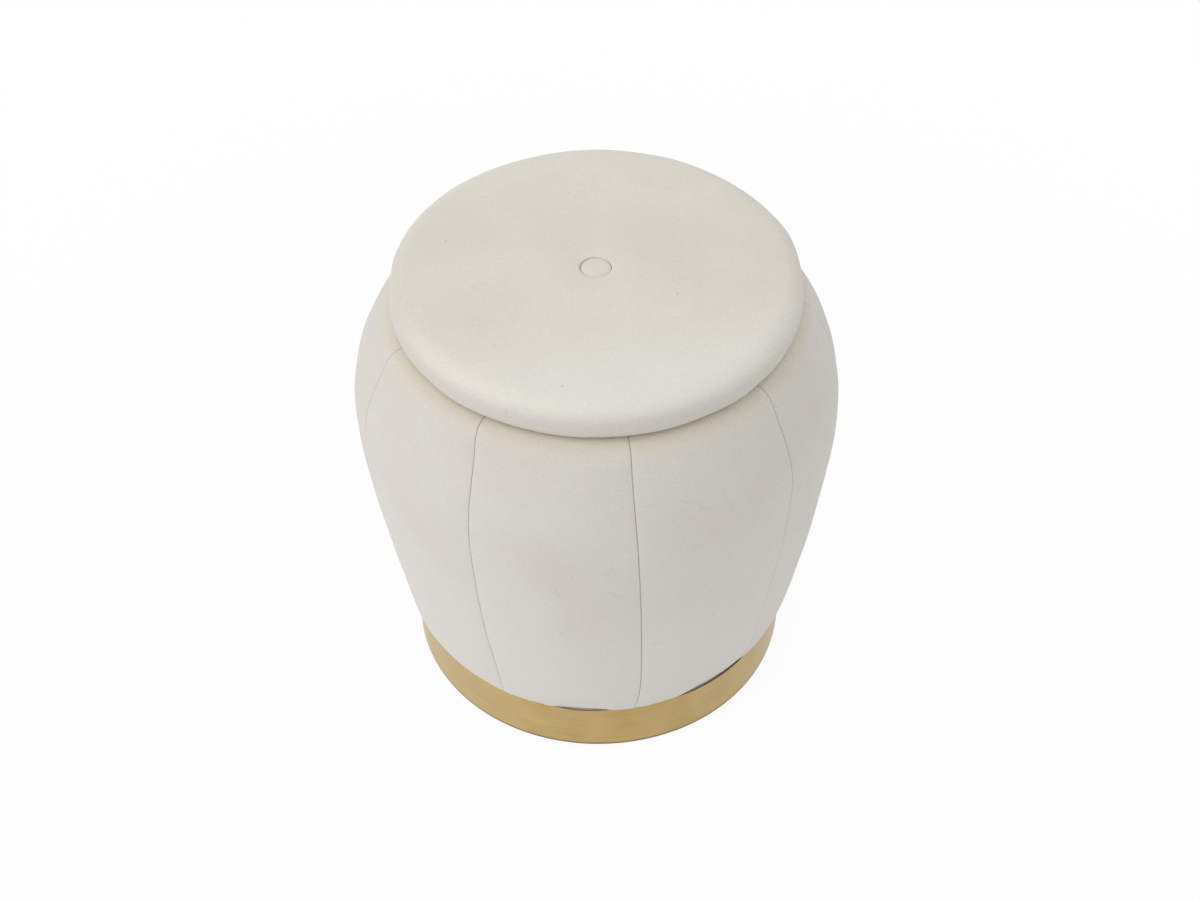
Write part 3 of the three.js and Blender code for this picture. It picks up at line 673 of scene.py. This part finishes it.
COVER_STEP = 7
COVER_COLUMNS = 20
COVER_PRESSURE = 60
BLOWN_FRAMES = 20
SWELL_RANGE = (-1, SEAM_PULL + 1.5)
CLOTH_STEP = 2.2
SEAM_GAP = 0.2
SEAM_ROUND, ROUND_RISE = 0.95, (65, 150)
SEAM_GROOVE, GROOVE_WIDTH, GROOVE_TOP = 0.5, 1.5, 130
PUCKER, PUCKER_WIDTH = 0.14, 7
GATHER, GATHER_HEIGHT = 0.3, 8
BRIM_OUT, BRIM_WIDTH, BRIM_RISE = 14, 20, (395, 405)
SEAM_COLUMNS = [0, 0.06, 0.19, 0.42, 0.75, 1.3, 2.2, 3.8, 6.5]  # mm from the seam
SEAM_DRIFT = {
    0: bezier([(45, -4), (85, 13), (120, 10), (220, 4), (300, -4), (365, -8), (411, -5)]),
    8: bezier([(45, 4), (110, 9), (190, 2), (260, -8), (330, 6), (365, 6), (411, -8)]),
    1: bezier([(45, 2), (130, -8), (210, 9), (280, 3), (370, -2), (411, 4)]),
    7: bezier([(45, 0), (220, -1), (330, 11), (411, 0)]),
}


def blown_up(line, angle, sunk, held, pressure):
    """How far a cover moves out along its normals, in mm, when air is blown in: a cloth
    simulation with no gravity, in which each point is held to its place by its share. The
    cover is a line of points with their normals, carried round and sunk in by some depth. It
    closes on itself. A cotton-backed velvet gives about one part in thirty."""
    points, normal, _ = line
    out = turned(normal[:, :1], normal[:, 1:], angle)
    rest = turned(points[:, :1], points[:, 1:], angle) - sunk[..., None] * out
    index = np.arange(rest[..., 0].size).reshape(rest.shape[:2])
    quads = quads_over(np.hstack([index, index[:, :1]]))
    mesh = bpy.data.meshes.new("blown_cover")
    mesh.from_pydata(rest.reshape(-1, 3) * MM, [], quads.tolist())
    cover = in_scene("blown_cover", mesh)
    group = cover.vertex_groups.new(name="held")
    for share in np.unique(held):
        group.add(np.flatnonzero(held == share).tolist(), float(share), "REPLACE")
    cloth = cover.modifiers.new("blown", "CLOTH")
    cloth.collision_settings.use_collision = False
    cloth.point_cache.frame_start, cloth.point_cache.frame_end = 1, BLOWN_FRAMES
    for key, value in {"quality": 6, "mass": 0.3, "tension_stiffness": 5,
                       "compression_stiffness": 5, "shear_stiffness": 2,
                       "bending_stiffness": 0.1, "use_pressure": True,
                       "uniform_pressure_force": pressure, "vertex_group_mass": "held",
                       "pin_stiffness": 20}.items():
        setattr(cloth.settings, key, value)
    cloth.settings.effector_weights.gravity = 0
    for frame_number in range(1, BLOWN_FRAMES + 1):
        scene.frame_set(frame_number)
    settled = cover.evaluated_get(bpy.context.evaluated_depsgraph_get())
    moved = np.empty(rest.size)
    settled.to_mesh().vertices.foreach_get("co", moved)
    settled.to_mesh_clear()
    bpy.data.objects.remove(cover)
    bpy.data.meshes.remove(mesh)
    scene.frame_set(1)
    return np.sum((moved.reshape(rest.shape) / MM - rest) * out, axis=-1)


def four_shares(t):
    """Catmull-Rom shares of the points at -1, 0, 1 and 2 in the value at t."""
    return (-t / 2 + t**2 - t**3 / 2, 1 - 2.5 * t**2 + 1.5 * t**3,
            t / 2 + 2 * t**2 - 1.5 * t**3, (t**3 - t**2) / 2)


def between(field, row, column):
    """Value of a grid that closes on itself across its columns, at places between its points:
    the cubic through the four nearest rows and columns."""
    i, j = np.floor(row).astype(int), np.floor(column).astype(int)
    total = 0
    for down, a in zip((-1, 0, 1, 2), four_shares(row - i)):
        for side, b in zip((-1, 0, 1, 2), four_shares(column - j)):
            total = total + a * b * field[np.clip(i + down, 0, len(field) - 1),
                                          (j + side) % field.shape[1]]
    return total


def row_of(at, coarse_at):
    """Row of a coarse grid, with its fraction, that lies as far along as each fine row."""
    return np.interp(at, coarse_at, np.arange(len(coarse_at)))[:, None]


def cloth_faces(line, angle, move, side=math.inf, side_round=1, sunk=0):
    """Closed grid of a velvet: its outer face down the rows and its inner face back up. They
    lie half its thickness either side of a middle that is moved out along the line's normals.
    The thickness runs out in a rounded edge at both ends, and where a side edge is near."""
    points, normal, at = line
    half = VELVET / 2 * (edge_share(np.minimum(at, at[-1] - at), VELVET / 2)[:, None]
                         * edge_share(side, side_round))
    faces = []
    for sign in (1, -1):
        shift = move - VELVET / 2 + sign * half
        faces.append(turned(points[:, :1] - sunk + shift * normal[:, :1],
                            points[:, 1:] + shift * normal[:, 1:], angle))
    return np.vstack([faces[0], faces[1][::-1]])


# The cover starts inside the foam's line by the seams' pull, is held along the seams, in the
# band and on the rim, and is blown out between them.
cover_line = spaced(outline, COVER_STEP)
cover_angle = np.arange(PANELS * COVER_COLUMNS) * TURN / (PANELS * COVER_COLUMNS)
cover_pull = SEAM_PULL * (pull_share(*cover_line[0].T)[:, None] + 0 * cover_angle)
from_middle = seam_share(cover_angle) + 0 * cover_pull
cover_held = 1.0 * ((from_middle == 1) | (cover_pull < 0.02 * SEAM_PULL))
cover_swell = blown_up(cover_line, cover_angle, cover_pull, cover_held, COVER_PRESSURE)
cover_swell = np.clip(cover_swell, *SWELL_RANGE) - cover_pull


def seam_angle(seam, height):
    """Angle of a seam at a height: evenly spaced, wandering by a millimetre or two as sewn,
    and drifting sideways by some millimetres where a gore was cut or pulled askew."""
    at = np.stack([0 * height + 500 * (seam % PANELS), 0 * height, height], -1)
    drift = SEAM_DRIFT.get(seam % PANELS, np.zeros((1, 2)))
    aside = waves(at, (0.7, 210, 11)) + np.interp(height, drift[:, 0], drift[:, 1])
    return seam * TURN / PANELS + aside / bulge_radius


def gore(number):
    """Closed grid of one gore. Down the rows it follows the outline; across the columns it
    goes from seam to seam, closely spaced by the seams. It is moved along the outline's
    normal by the blown swell, the groove, the puckers by the seams, the gathers at the foot
    and rim, and the slow swell of cloth over foam."""
    line = spaced(outline, CLOTH_STEP, VELVET / 2)
    radius, height = line[0].T[:, :, None]
    left, right = seam_angle(number - 1, height), seam_angle(number, height)
    width = radius * (right - left) - SEAM_GAP
    near = np.array([SEAM_COLUMNS])
    middle = np.linspace(0, 1, 42)[None, 1:-1]
    offset = np.hstack([near + 0 * width, near[:, -1:] + middle * (width - 2 * near[:, -1:]),
                        width - near[:, ::-1]])
    side = np.minimum(offset, width - offset)
    across = 2 * offset / width - 1
    angle = left + (SEAM_GAP / 2 + offset) / radius
    place = turned(radius, height, angle)
    shown = pull_share(radius, height)
    seam = np.where(across < 0, number - 1, number) % PANELS
    beside = np.stack([900.0 * seam, 0 * angle, height + 0 * angle], -1)
    foot = np.exp(-np.clip(height - band_top, 0, None) / GATHER_HEIGHT) * (height > band_top)
    brim = (smoothstep(RIM_RADIUS + BRIM_OUT - radius, 0, BRIM_WIDTH)
            * smoothstep(height, *BRIM_RISE))
    column = (number - 1 + (across + 1) / 2) * COVER_COLUMNS
    move = (between(cover_swell, row_of(line[2], cover_line[2]), column)
            - SEAM_GROOVE * np.exp(-side / GROOVE_WIDTH) * smoothstep(height, band_top, GROOVE_TOP)
            - PUCKER * (1 + waves(beside, (1, 12, 21))) * np.exp(-side / PUCKER_WIDTH) * shown
            - GATHER * np.clip(1 + waves(place, (1, 13, 31)), 0, None) * (foot + 0.3 * brim)
            + waves(place, (0.42, 140, 41), (0.2, 55, 42), (0.05, 17, 43)) * shown)
    seam_round = SEAM_ROUND * (0.4 + 0.6 * smoothstep(height, *ROUND_RISE))
    return cloth_faces(line, angle, move, side, seam_round, foot_slack(angle, height))


def velvet_finish(name, lit, shaded, warm, *painted_light_and_shade_zones):
    """Short-pile polyester velvet: a soft pale sheen, and broad patches a shade lighter or
    darker where the pile leans another way. Each zone is painted light or painted shade: a
    tone that it takes on between two places along an axis, paler where more light falls and
    darker where the cloth lies in shade. The pile is 1.5 mm long and a tenth thick; its tufts
    are drawn 1.3 mm apart so that they show. Lint lies here and there, and the pile is scuffed in
    short lines."""
    material, add, place = finish_of(name, Roughness=0.88, IOR=1.45, Sheen_Weight=0.3,
                                     Sheen_Roughness=0.5, Specular_IOR_Level=0.25)
    broad, brushed, tufts = (
        add("TexNoise", {"Vector": place, "Scale": 1 / (size * MM), "Detail": detail,
                         "Roughness": rough, "Distortion": bend})
        for size, detail, rough, bend in ((95, 2.0, 0.4, 0.0), (28, 4.0, 0.55, 0.8),
                                          (1.3, 4.0, 0.65, 0.0)))
    lines = add("Mapping", {0: place, 3: (1 / (32 * MM), 1 / (2.4 * MM), 1 / (32 * MM))})
    lines = add("TexNoise", {"Vector": lines, "Scale": 1.0, "Detail": 2.0})
    lint = add("TexVoronoi", {"Vector": place, "Scale": 1 / (34 * MM)})
    lean, nap, lint, fleck, scuff = (add("MapRange", list(values)) for values in (
        (broad, 0.3, 0.7, 0.0, 1.0), (brushed, 0.3, 0.7, 0.0, 0.45),
        (lint, 0.015, 0.035, 0.45, 0.0), (tufts, 0.25, 0.75, 0.9, 1.08),
        (lines, 0.66, 0.74, 1.0, 0.95)))
    along = add("SeparateXYZ", [place]).node.outputs
    # Painted light and shade: each zone turns the cloth paler or darker between two places along
    # an axis, as light falls on it.
    painted_light_and_shade = [(add("MapRange", [along[axis], start * MM, end * MM],
                    interpolation_type="SMOOTHSTEP"), colour)
               for axis, start, end, colour in painted_light_and_shade_zones]
    tone = linear(shaded)
    for share, colour in [(lean, lit), (nap, warm), *painted_light_and_shade, (lint, "#8A8378")]:
        tone = add("Mix", {0: share, 6: tone, 7: linear(colour)}, 2, data_type="RGBA")
    for shade in (fleck, scuff):
        tone = add("VectorMath", [tone, shade], operation="MULTIPLY")
    dress(material, tone, (brushed, 0.45), (tufts, 0.2),
          roughness=add("MapRange", [brushed, 0.0, 1.0, 0.8, 0.96]))
    return material


# Painted light and shade: the body painted paler towards the foot as if lit from the floor, and a
# warm painted shade on the shoulder under the lid's edge.
body_velvet = velvet_finish("cream_velvet_cover", "#DCDAD5", "#D7D1CB", "#DAD6CE",
                            ("Z", 300, 120, "#DFDBD6"), ("Z", 394, 411, "#DFD9CB"))
for number in range(1, PANELS + 1):
    panel = surface(f"velvet_gore_{number}", gore(number), body_velvet, "cream_velvet",
                    f"velvet_panel_{number}")

# ---------------- storage liner
# A tube and a floor of 2 and 3 mm greyboard, laminated with beige nonwoven polypropylene. The
# cloth laps over itself in one upright joint at the back of the well.

LINER_WALL = 2
LINER_COLUMNS = 288
LINER_LAP, LAP_THICKNESS = 9, 0.35
LINER_WAVE = 0.12
LINER_FLOOR_EDGE = 0.9


def liner_wall():
    """Closed grid of the tube. Its inner rows stand in by the lap's thickness at the back and
    by slow waves of the cloth."""
    radius, height = ribbon([(liner_radius, liner_bottom), (liner_radius, liner_top)],
                            LINER_WALL, 8).T[:, :, None]
    angle = np.linspace(0, TURN, LINER_COLUMNS + 1)
    lap = smoothstep(LINER_LAP - np.abs(angle - math.pi) * liner_radius, 0, 1)
    inner_row = radius < liner_radius - LINER_WALL / 2
    thicker = LAP_THICKNESS * lap + waves(turned(radius, height, angle), (LINER_WAVE, 90, 51))
    return turned(radius - thicker * inner_row, height, angle)


def round_board(node, edge):
    """Profile of a round board with rounded edges, from the axis out and back."""
    radius, bottom, top = reach(node)
    return soften([(0, bottom), (radius, bottom), (radius, top), (0, top)], edge, closed=False)


# Nonwoven polypropylene: matt beige, heat-bonded in a grid of small diamonds 3 mm apart.
lining, add, fibres, tone = mottled("beige_nonwoven_lining", 1.1, "#BDB3A1", "#D6CEBF",
                                    {"Detail": 5.0, "Roughness": 0.65}, Roughness=0.85,
                                    Sheen_Weight=0.1, Sheen_Roughness=0.5)
place = add("TexCoord", output="Object")
lengths = add("UVMap", uv_map="lengths")
diamond = add("Mapping", {0: lengths, 2: (0, 0, math.pi / 4),
                          3: (1 / (3 * MM), 1 / (3 * MM), 1)})
bonds = add("TexVoronoi", {"Vector": diamond, "Scale": 1.0, "Randomness": 0.0},
            voronoi_dimensions="2D")
bonds = add("MapRange", [bonds, 0.15, 0.4])
cloud = add("TexNoise", {"Vector": place, "Scale": 1 / (50 * MM)})
shade = add("MapRange", [bonds, 0.0, 1.0, 0.9, 1.0])
tone = add("VectorMath", [tone, shade], operation="MULTIPLY")
dress(lining, tone, (bonds, 0.2), (fibres, 0.08), (cloud, 0.5))

liner_radius, liner_bottom, liner_top = reach("liner_tube")
surface("storage_liner", liner_wall(), lining, "liner_board", "liner_tube")
surface("storage_floor", lathe(round_board("liner_floor", LINER_FLOOR_EDGE), 144), lining,
        "liner_board", "liner_floor")

# ---------------- lid cushion
# A round cushion of foam on a 12 mm ply board, covered by one piece of the same velvet. The
# velvet is drawn over the edge in small gathers and stapled under the board, and a covered
# button pulls a shallow dimple into the middle of the top.

EDGE_WIDTH, EDGE_HEIGHT, EDGE_FULLNESS = 16.3, 20.3, 0.88
TUCK_WIDTH, TUCK_FULLNESS = 16, 0.8
LID_HEM = 21.3
DIMPLE_RADIUS = 45
POCKET_RADIUS, POCKET_FLOOR, POCKET_EDGE = 13.9, 442.6, 14.5
TWINE_HOLE = 1.6
LID_STEP = 6
LID_BLOWN_COLUMNS = 144
LID_PRESSURE = 20
LID_FOAM_HOLD = 0.12
LID_COLUMNS = 432
LID_CROWN, CROWN_START = 1.6, 70
TOP_FADE, POCKET_FADE, UNEVEN_FADE = 12, 19, 40
TUCK_HEIGHT, TUCK_FADE = 7, 5
LID_GATHER, GATHER_LENGTH = 0.48, 19
HEM_INSIDE = 100
CREASE_PLACE, CREASE_REACH = 20, 16
CREASES = [(212, 0.8, 6), (236, 0.65, 5), (188, 0.25, 8), (262, 0.22, 9), (30, 0.18, 9),
           (110, 0.15, 10)]  # each an angle in degrees, a depth and a half width
LID_FOAM_EASE = 2.2
FOAM_GAP = 0.3


def lid_outline():
    """Outside of the lid's velvet: the hem under the board, the tuck round to the widest
    place, the edge up to the top, the dimple, and the button's pocket down to its floor."""
    widest = lid_top - EDGE_HEIGHT
    quarter = np.linspace(0, math.pi / 2, 40)
    mouth = (POCKET_RADIUS + 0.4, lid_top - 1.1)
    return np.vstack([
        [(lid_radius - TUCK_WIDTH - LID_HEM, lid_bottom)],
        np.stack([lid_radius - TUCK_WIDTH + TUCK_WIDTH * np.sin(quarter) ** TUCK_FULLNESS,
                  widest - (widest - lid_bottom) * np.cos(quarter) ** TUCK_FULLNESS], -1),
        np.stack([lid_radius - EDGE_WIDTH + EDGE_WIDTH * np.cos(quarter) ** EDGE_FULLNESS,
                  widest + EDGE_HEIGHT * np.sin(quarter) ** EDGE_FULLNESS], -1)[1:],
        bezier([(DIMPLE_RADIUS, lid_top), (POCKET_RADIUS + 3, lid_top - 0.2), mouth], 24),
        bezier([mouth, (POCKET_RADIUS, lid_top - 1.4), (POCKET_RADIUS, lid_top - 2.2)], 6)[1:],
        [(POCKET_RADIUS, POCKET_FLOOR), (TWINE_HOLE, POCKET_FLOOR)],
    ])


def lid_swell():
    """Swell of the lid's cover over its foam, on a coarse grid. The hem and the pocket are
    held fast, and the foam holds the rest by a small share. Also how far along each row is."""
    line = spaced(lid_path, LID_STEP)
    angle = np.arange(LID_BLOWN_COLUMNS) * TURN / LID_BLOWN_COLUMNS
    radius, height = line[0].T[:, :, None]
    soft = smoothstep(radius, 20, 60) * smoothstep(height, lid_bottom, lid_bottom + 4)
    soft = soft + 0 * angle
    held = np.where(soft < 0.05, 1.0, LID_FOAM_HOLD)
    return blown_up(line, angle, 0 * soft, held, LID_PRESSURE), line[2]


def cushion_cover():
    """Closed grid of the lid's velvet, carried round from hem to pocket. It is moved along
    its line's normal by the blown swell, slow waves, the crown's fall towards the edge,
    gathers where it is tucked under, and creases that run out from the button."""
    radius, height = lid_line[0].T[:, :, None]
    angle = np.linspace(0, TURN, LID_COLUMNS + 1)
    on_top = (smoothstep(height, lid_top - TOP_FADE, lid_top)
              * smoothstep(radius, POCKET_EDGE, POCKET_FADE))
    tucked = smoothstep(lid_bottom + TUCK_HEIGHT - height, 0, TUCK_FADE) * (radius > HEM_INSIDE)
    gathers = waves(turned(lid_radius, 0, angle), (1, GATHER_LENGTH, 61))
    crease = sum(depth * np.exp(-((turn_from(angle, where) * radius / wide) ** 2))
                 for where, depth, wide in CREASES)
    crease = crease * np.exp(-((radius - CREASE_PLACE) / CREASE_REACH) ** 2)
    swell, swell_at = lid_swell()
    uneven = waves(turned(radius, height, angle), (0.5, 150, 71), (0.28, 60, 72), (0.07, 20, 73))
    fall = smoothstep(radius, CROWN_START, lid_radius - EDGE_WIDTH + 6)
    move = (uneven * smoothstep(radius, POCKET_EDGE, UNEVEN_FADE) * (1 - tucked)
            + between(swell, row_of(lid_line[2], swell_at), angle / TURN * LID_BLOWN_COLUMNS)
            - LID_CROWN * fall * on_top
            - LID_GATHER * np.clip(0.8 + gathers, 0, None) * tucked**2
            - crease * (radius > POCKET_EDGE))
    return cloth_faces(lid_line, angle, move)


def cushion_foam():
    """Profile of the foam inside: flat on the board, with its skirt down past the board's
    edge, a little inside the cover, and drawn down under the button."""
    board_radius, board_bottom, board_top = reach("lid_board")
    points, normal, _ = lid_line
    inside = points - (VELVET + LID_FOAM_EASE) * normal
    inside = inside[(points[:, 1] > lid_bottom + 4) & (points[:, 0] > POCKET_RADIUS + 5)]
    inside = inside[inside[:, 1] > board_bottom + 0.5]
    side, under = board_radius + GLUE_GAP, POCKET_FLOOR - 3.5
    skirt, top = board_bottom + FOAM_GAP, board_top + FOAM_GAP
    return np.vstack([[(side, skirt), (board_radius + 3, skirt)], inside,
                      [(POCKET_RADIUS + 3, under), (TWINE_HOLE, under), (TWINE_HOLE, top),
                       (side, top), (side, skirt)]])


lid_radius, lid_bottom, lid_top = reach("lid_velvet")
lid_path = lid_outline()
lid_line = spaced(lid_path, CLOTH_STEP, VELVET / 2)
# Painted light and shade: the top painted paler towards the front, the left of the roll darker,
# the roll darker than the top, and a darker warm painted shade on the tuck under the edge.
lid_velvet = velvet_finish("cream_velvet_lid", "#E8E5DA", "#E2DCD1", "#E4DDD1",
                           ("Y", -30, -150, "#EBE8DF"), ("X", -155, -178, "#DBD8CE"),
                           ("Z", 447, 431, "#D6D2CB"), ("Z", 425, 414, "#CFC6B6"))
cushion = surface("lid_cushion", cushion_cover(), lid_velvet, "cream_velvet", "lid_velvet",
                  body="lid")
lid_foam = surface("cushion_foam", lathe(cushion_foam(), 144), foam, "foam", "lid_foam",
                   body="lid")

# ---------------- button
# A 25 mm two-part metal mould covered with the same velvet, drawn tight over its edge, and
# pulled down by waxed twine to a plastic toggle under the board.

BUTTON_DOME = 2.6
BUTTON_COLUMNS = 120
BUTTON_FOLD, FOLD_LENGTH = 0.25, 3.2


def covered_button():
    """Closed grid of the button: a dome, a rounded edge and a flat back. Small folds run in
    from the edge where the velvet is drawn under."""
    button_radius, bottom, top = reach("button")
    quarter = np.linspace(0, math.pi / 2, 18)
    shoulder = top - BUTTON_DOME
    radius, height = np.vstack([
        np.stack([button_radius * np.sin(quarter) ** 0.5,
                  shoulder + BUTTON_DOME * np.cos(quarter) ** 0.9], -1),
        bezier([(button_radius, shoulder), (button_radius, bottom + 0.5),
                (button_radius - 2.5, bottom)], 10)[1:],
        [(0, bottom)],
    ]).T[:, :, None]
    angle = np.linspace(0, TURN, BUTTON_COLUMNS + 1)
    drawn = smoothstep(radius, 8, 14) * smoothstep(shoulder + 1 - height, 0, 3)
    folds = waves(turned(button_radius, 0, angle), (1, FOLD_LENGTH, 81))
    fold = BUTTON_FOLD * drawn * np.clip(0.6 + folds, 0, None)
    return turned(radius - fold, height, angle)


surface("covered_button", covered_button(), lid_velvet, "cream_velvet", "button", body="lid")

# Waxed linen twine: three strands laid together, one turn every 3 mm.
twine, add, place = finish_of("waxed_linen_twine", Roughness=0.55, IOR=1.45)
strands = add("TexWave", {"Vector": place, "Scale": 1 / (6 * MM), "Distortion": 1.5,
                          "Detail": 2.0}, bands_direction="DIAGONAL")
tone = add("Mix", {0: strands, 6: linear("#B8AE98"), 7: linear("#E6E0CF")}, 2,
           data_type="RGBA")
dress(twine, tone, (strands, 0.2))
refinish(twine, "button_twine")
refinish(black_plastic, "twine_toggle")

# ---------------- underside of the lid
# Black spunbond covers the velvet's hem and is stapled round its edge. A sanded disc of 12 mm
# birch ply is screwed on over it, and centres the lid in the rim.

LINING_EDGE = 0.05
DISC_EDGE = 1.6
STAPLES = 30
STAPLE_CIRCLE = 147.1
STAPLE_CROWN, STAPLE_LEG, STAPLE_WIRE, STAPLE_BEND = 9.5, 2.2, 0.45, 0.7
DISC_SCREW_LENGTH = 22
DISC_SCREW_CIRCLE = 110.1
DISC_SCREW_PROUD = 0.08


def dust_cloth():
    """Profile of the round cloth, with its rows a few millimetres apart, out under its lower
    face, round its cut edge and back over its upper one."""
    rings = np.linspace(0, lining_radius - 0.3, 46)
    return np.vstack([
        np.stack([rings, 0 * rings + lining_bottom], -1),
        [(lining_radius - LINING_EDGE, lining_bottom), (lining_radius, lining_bottom + 0.3),
         (lining_radius - LINING_EDGE, lining_top)],
        np.stack([rings, 0 * rings + lining_top], -1)[::-1],
    ])


def wire_staples():
    """Grids of wire staples round a circle, each a crown along the edge and two legs up into
    the board: a circle of wire carried along a bent line, with its ends closed."""
    half_crown, wire = STAPLE_CROWN / 2, STAPLE_WIRE / 2
    path = soften([(-half_crown, STAPLE_LEG), (-half_crown, 0), (half_crown, 0),
                   (half_crown, STAPLE_LEG)], STAPLE_BEND, closed=False)
    points, normal, _ = spaced(path, 0.7)
    around = np.linspace(0, TURN, 9)[:, None]
    thick = np.concatenate([np.zeros(1), np.full(len(points) - 2, wire), np.zeros(1)])
    along, up = (points[:, k] + thick * np.cos(around) * normal[:, k] for k in (0, 1))
    spin = np.arange(STAPLES)[:, None, None] * TURN / STAPLES
    return (turned(STAPLE_CIRCLE + thick * np.sin(around), lining_bottom - wire + up, spin)
            + turned(along, 0, spin + TURN / 4))


lining_radius, lining_bottom, lining_top = reach("lid_underlining")
underlining = surface("lid_dust_cloth", lathe(dust_cloth(), 180), spunbond, "dust_cloth",
                      "lid_underlining", body="lid")

surface("lid_locating_disc", lathe(round_board("locating_disc", DISC_EDGE), 216), birch,
        "plywood", "locating_disc", body="lid")
locating_screw = wood_screw(DISC_SCREW_LENGTH)
locating_screw[..., 2] += reach("locating_disc")[1] - DISC_SCREW_PROUD
for number, spot in enumerate(around_circle(4, DISC_SCREW_CIRCLE), 1):
    surface(f"locating_fixing_{number}", locating_screw + spot, zinc_steel, "screw_steel",
            f"locating_screw_{number}", body="lid")
surface("lid_staples", wire_staples(), zinc_steel, "screw_steel", body="lid")
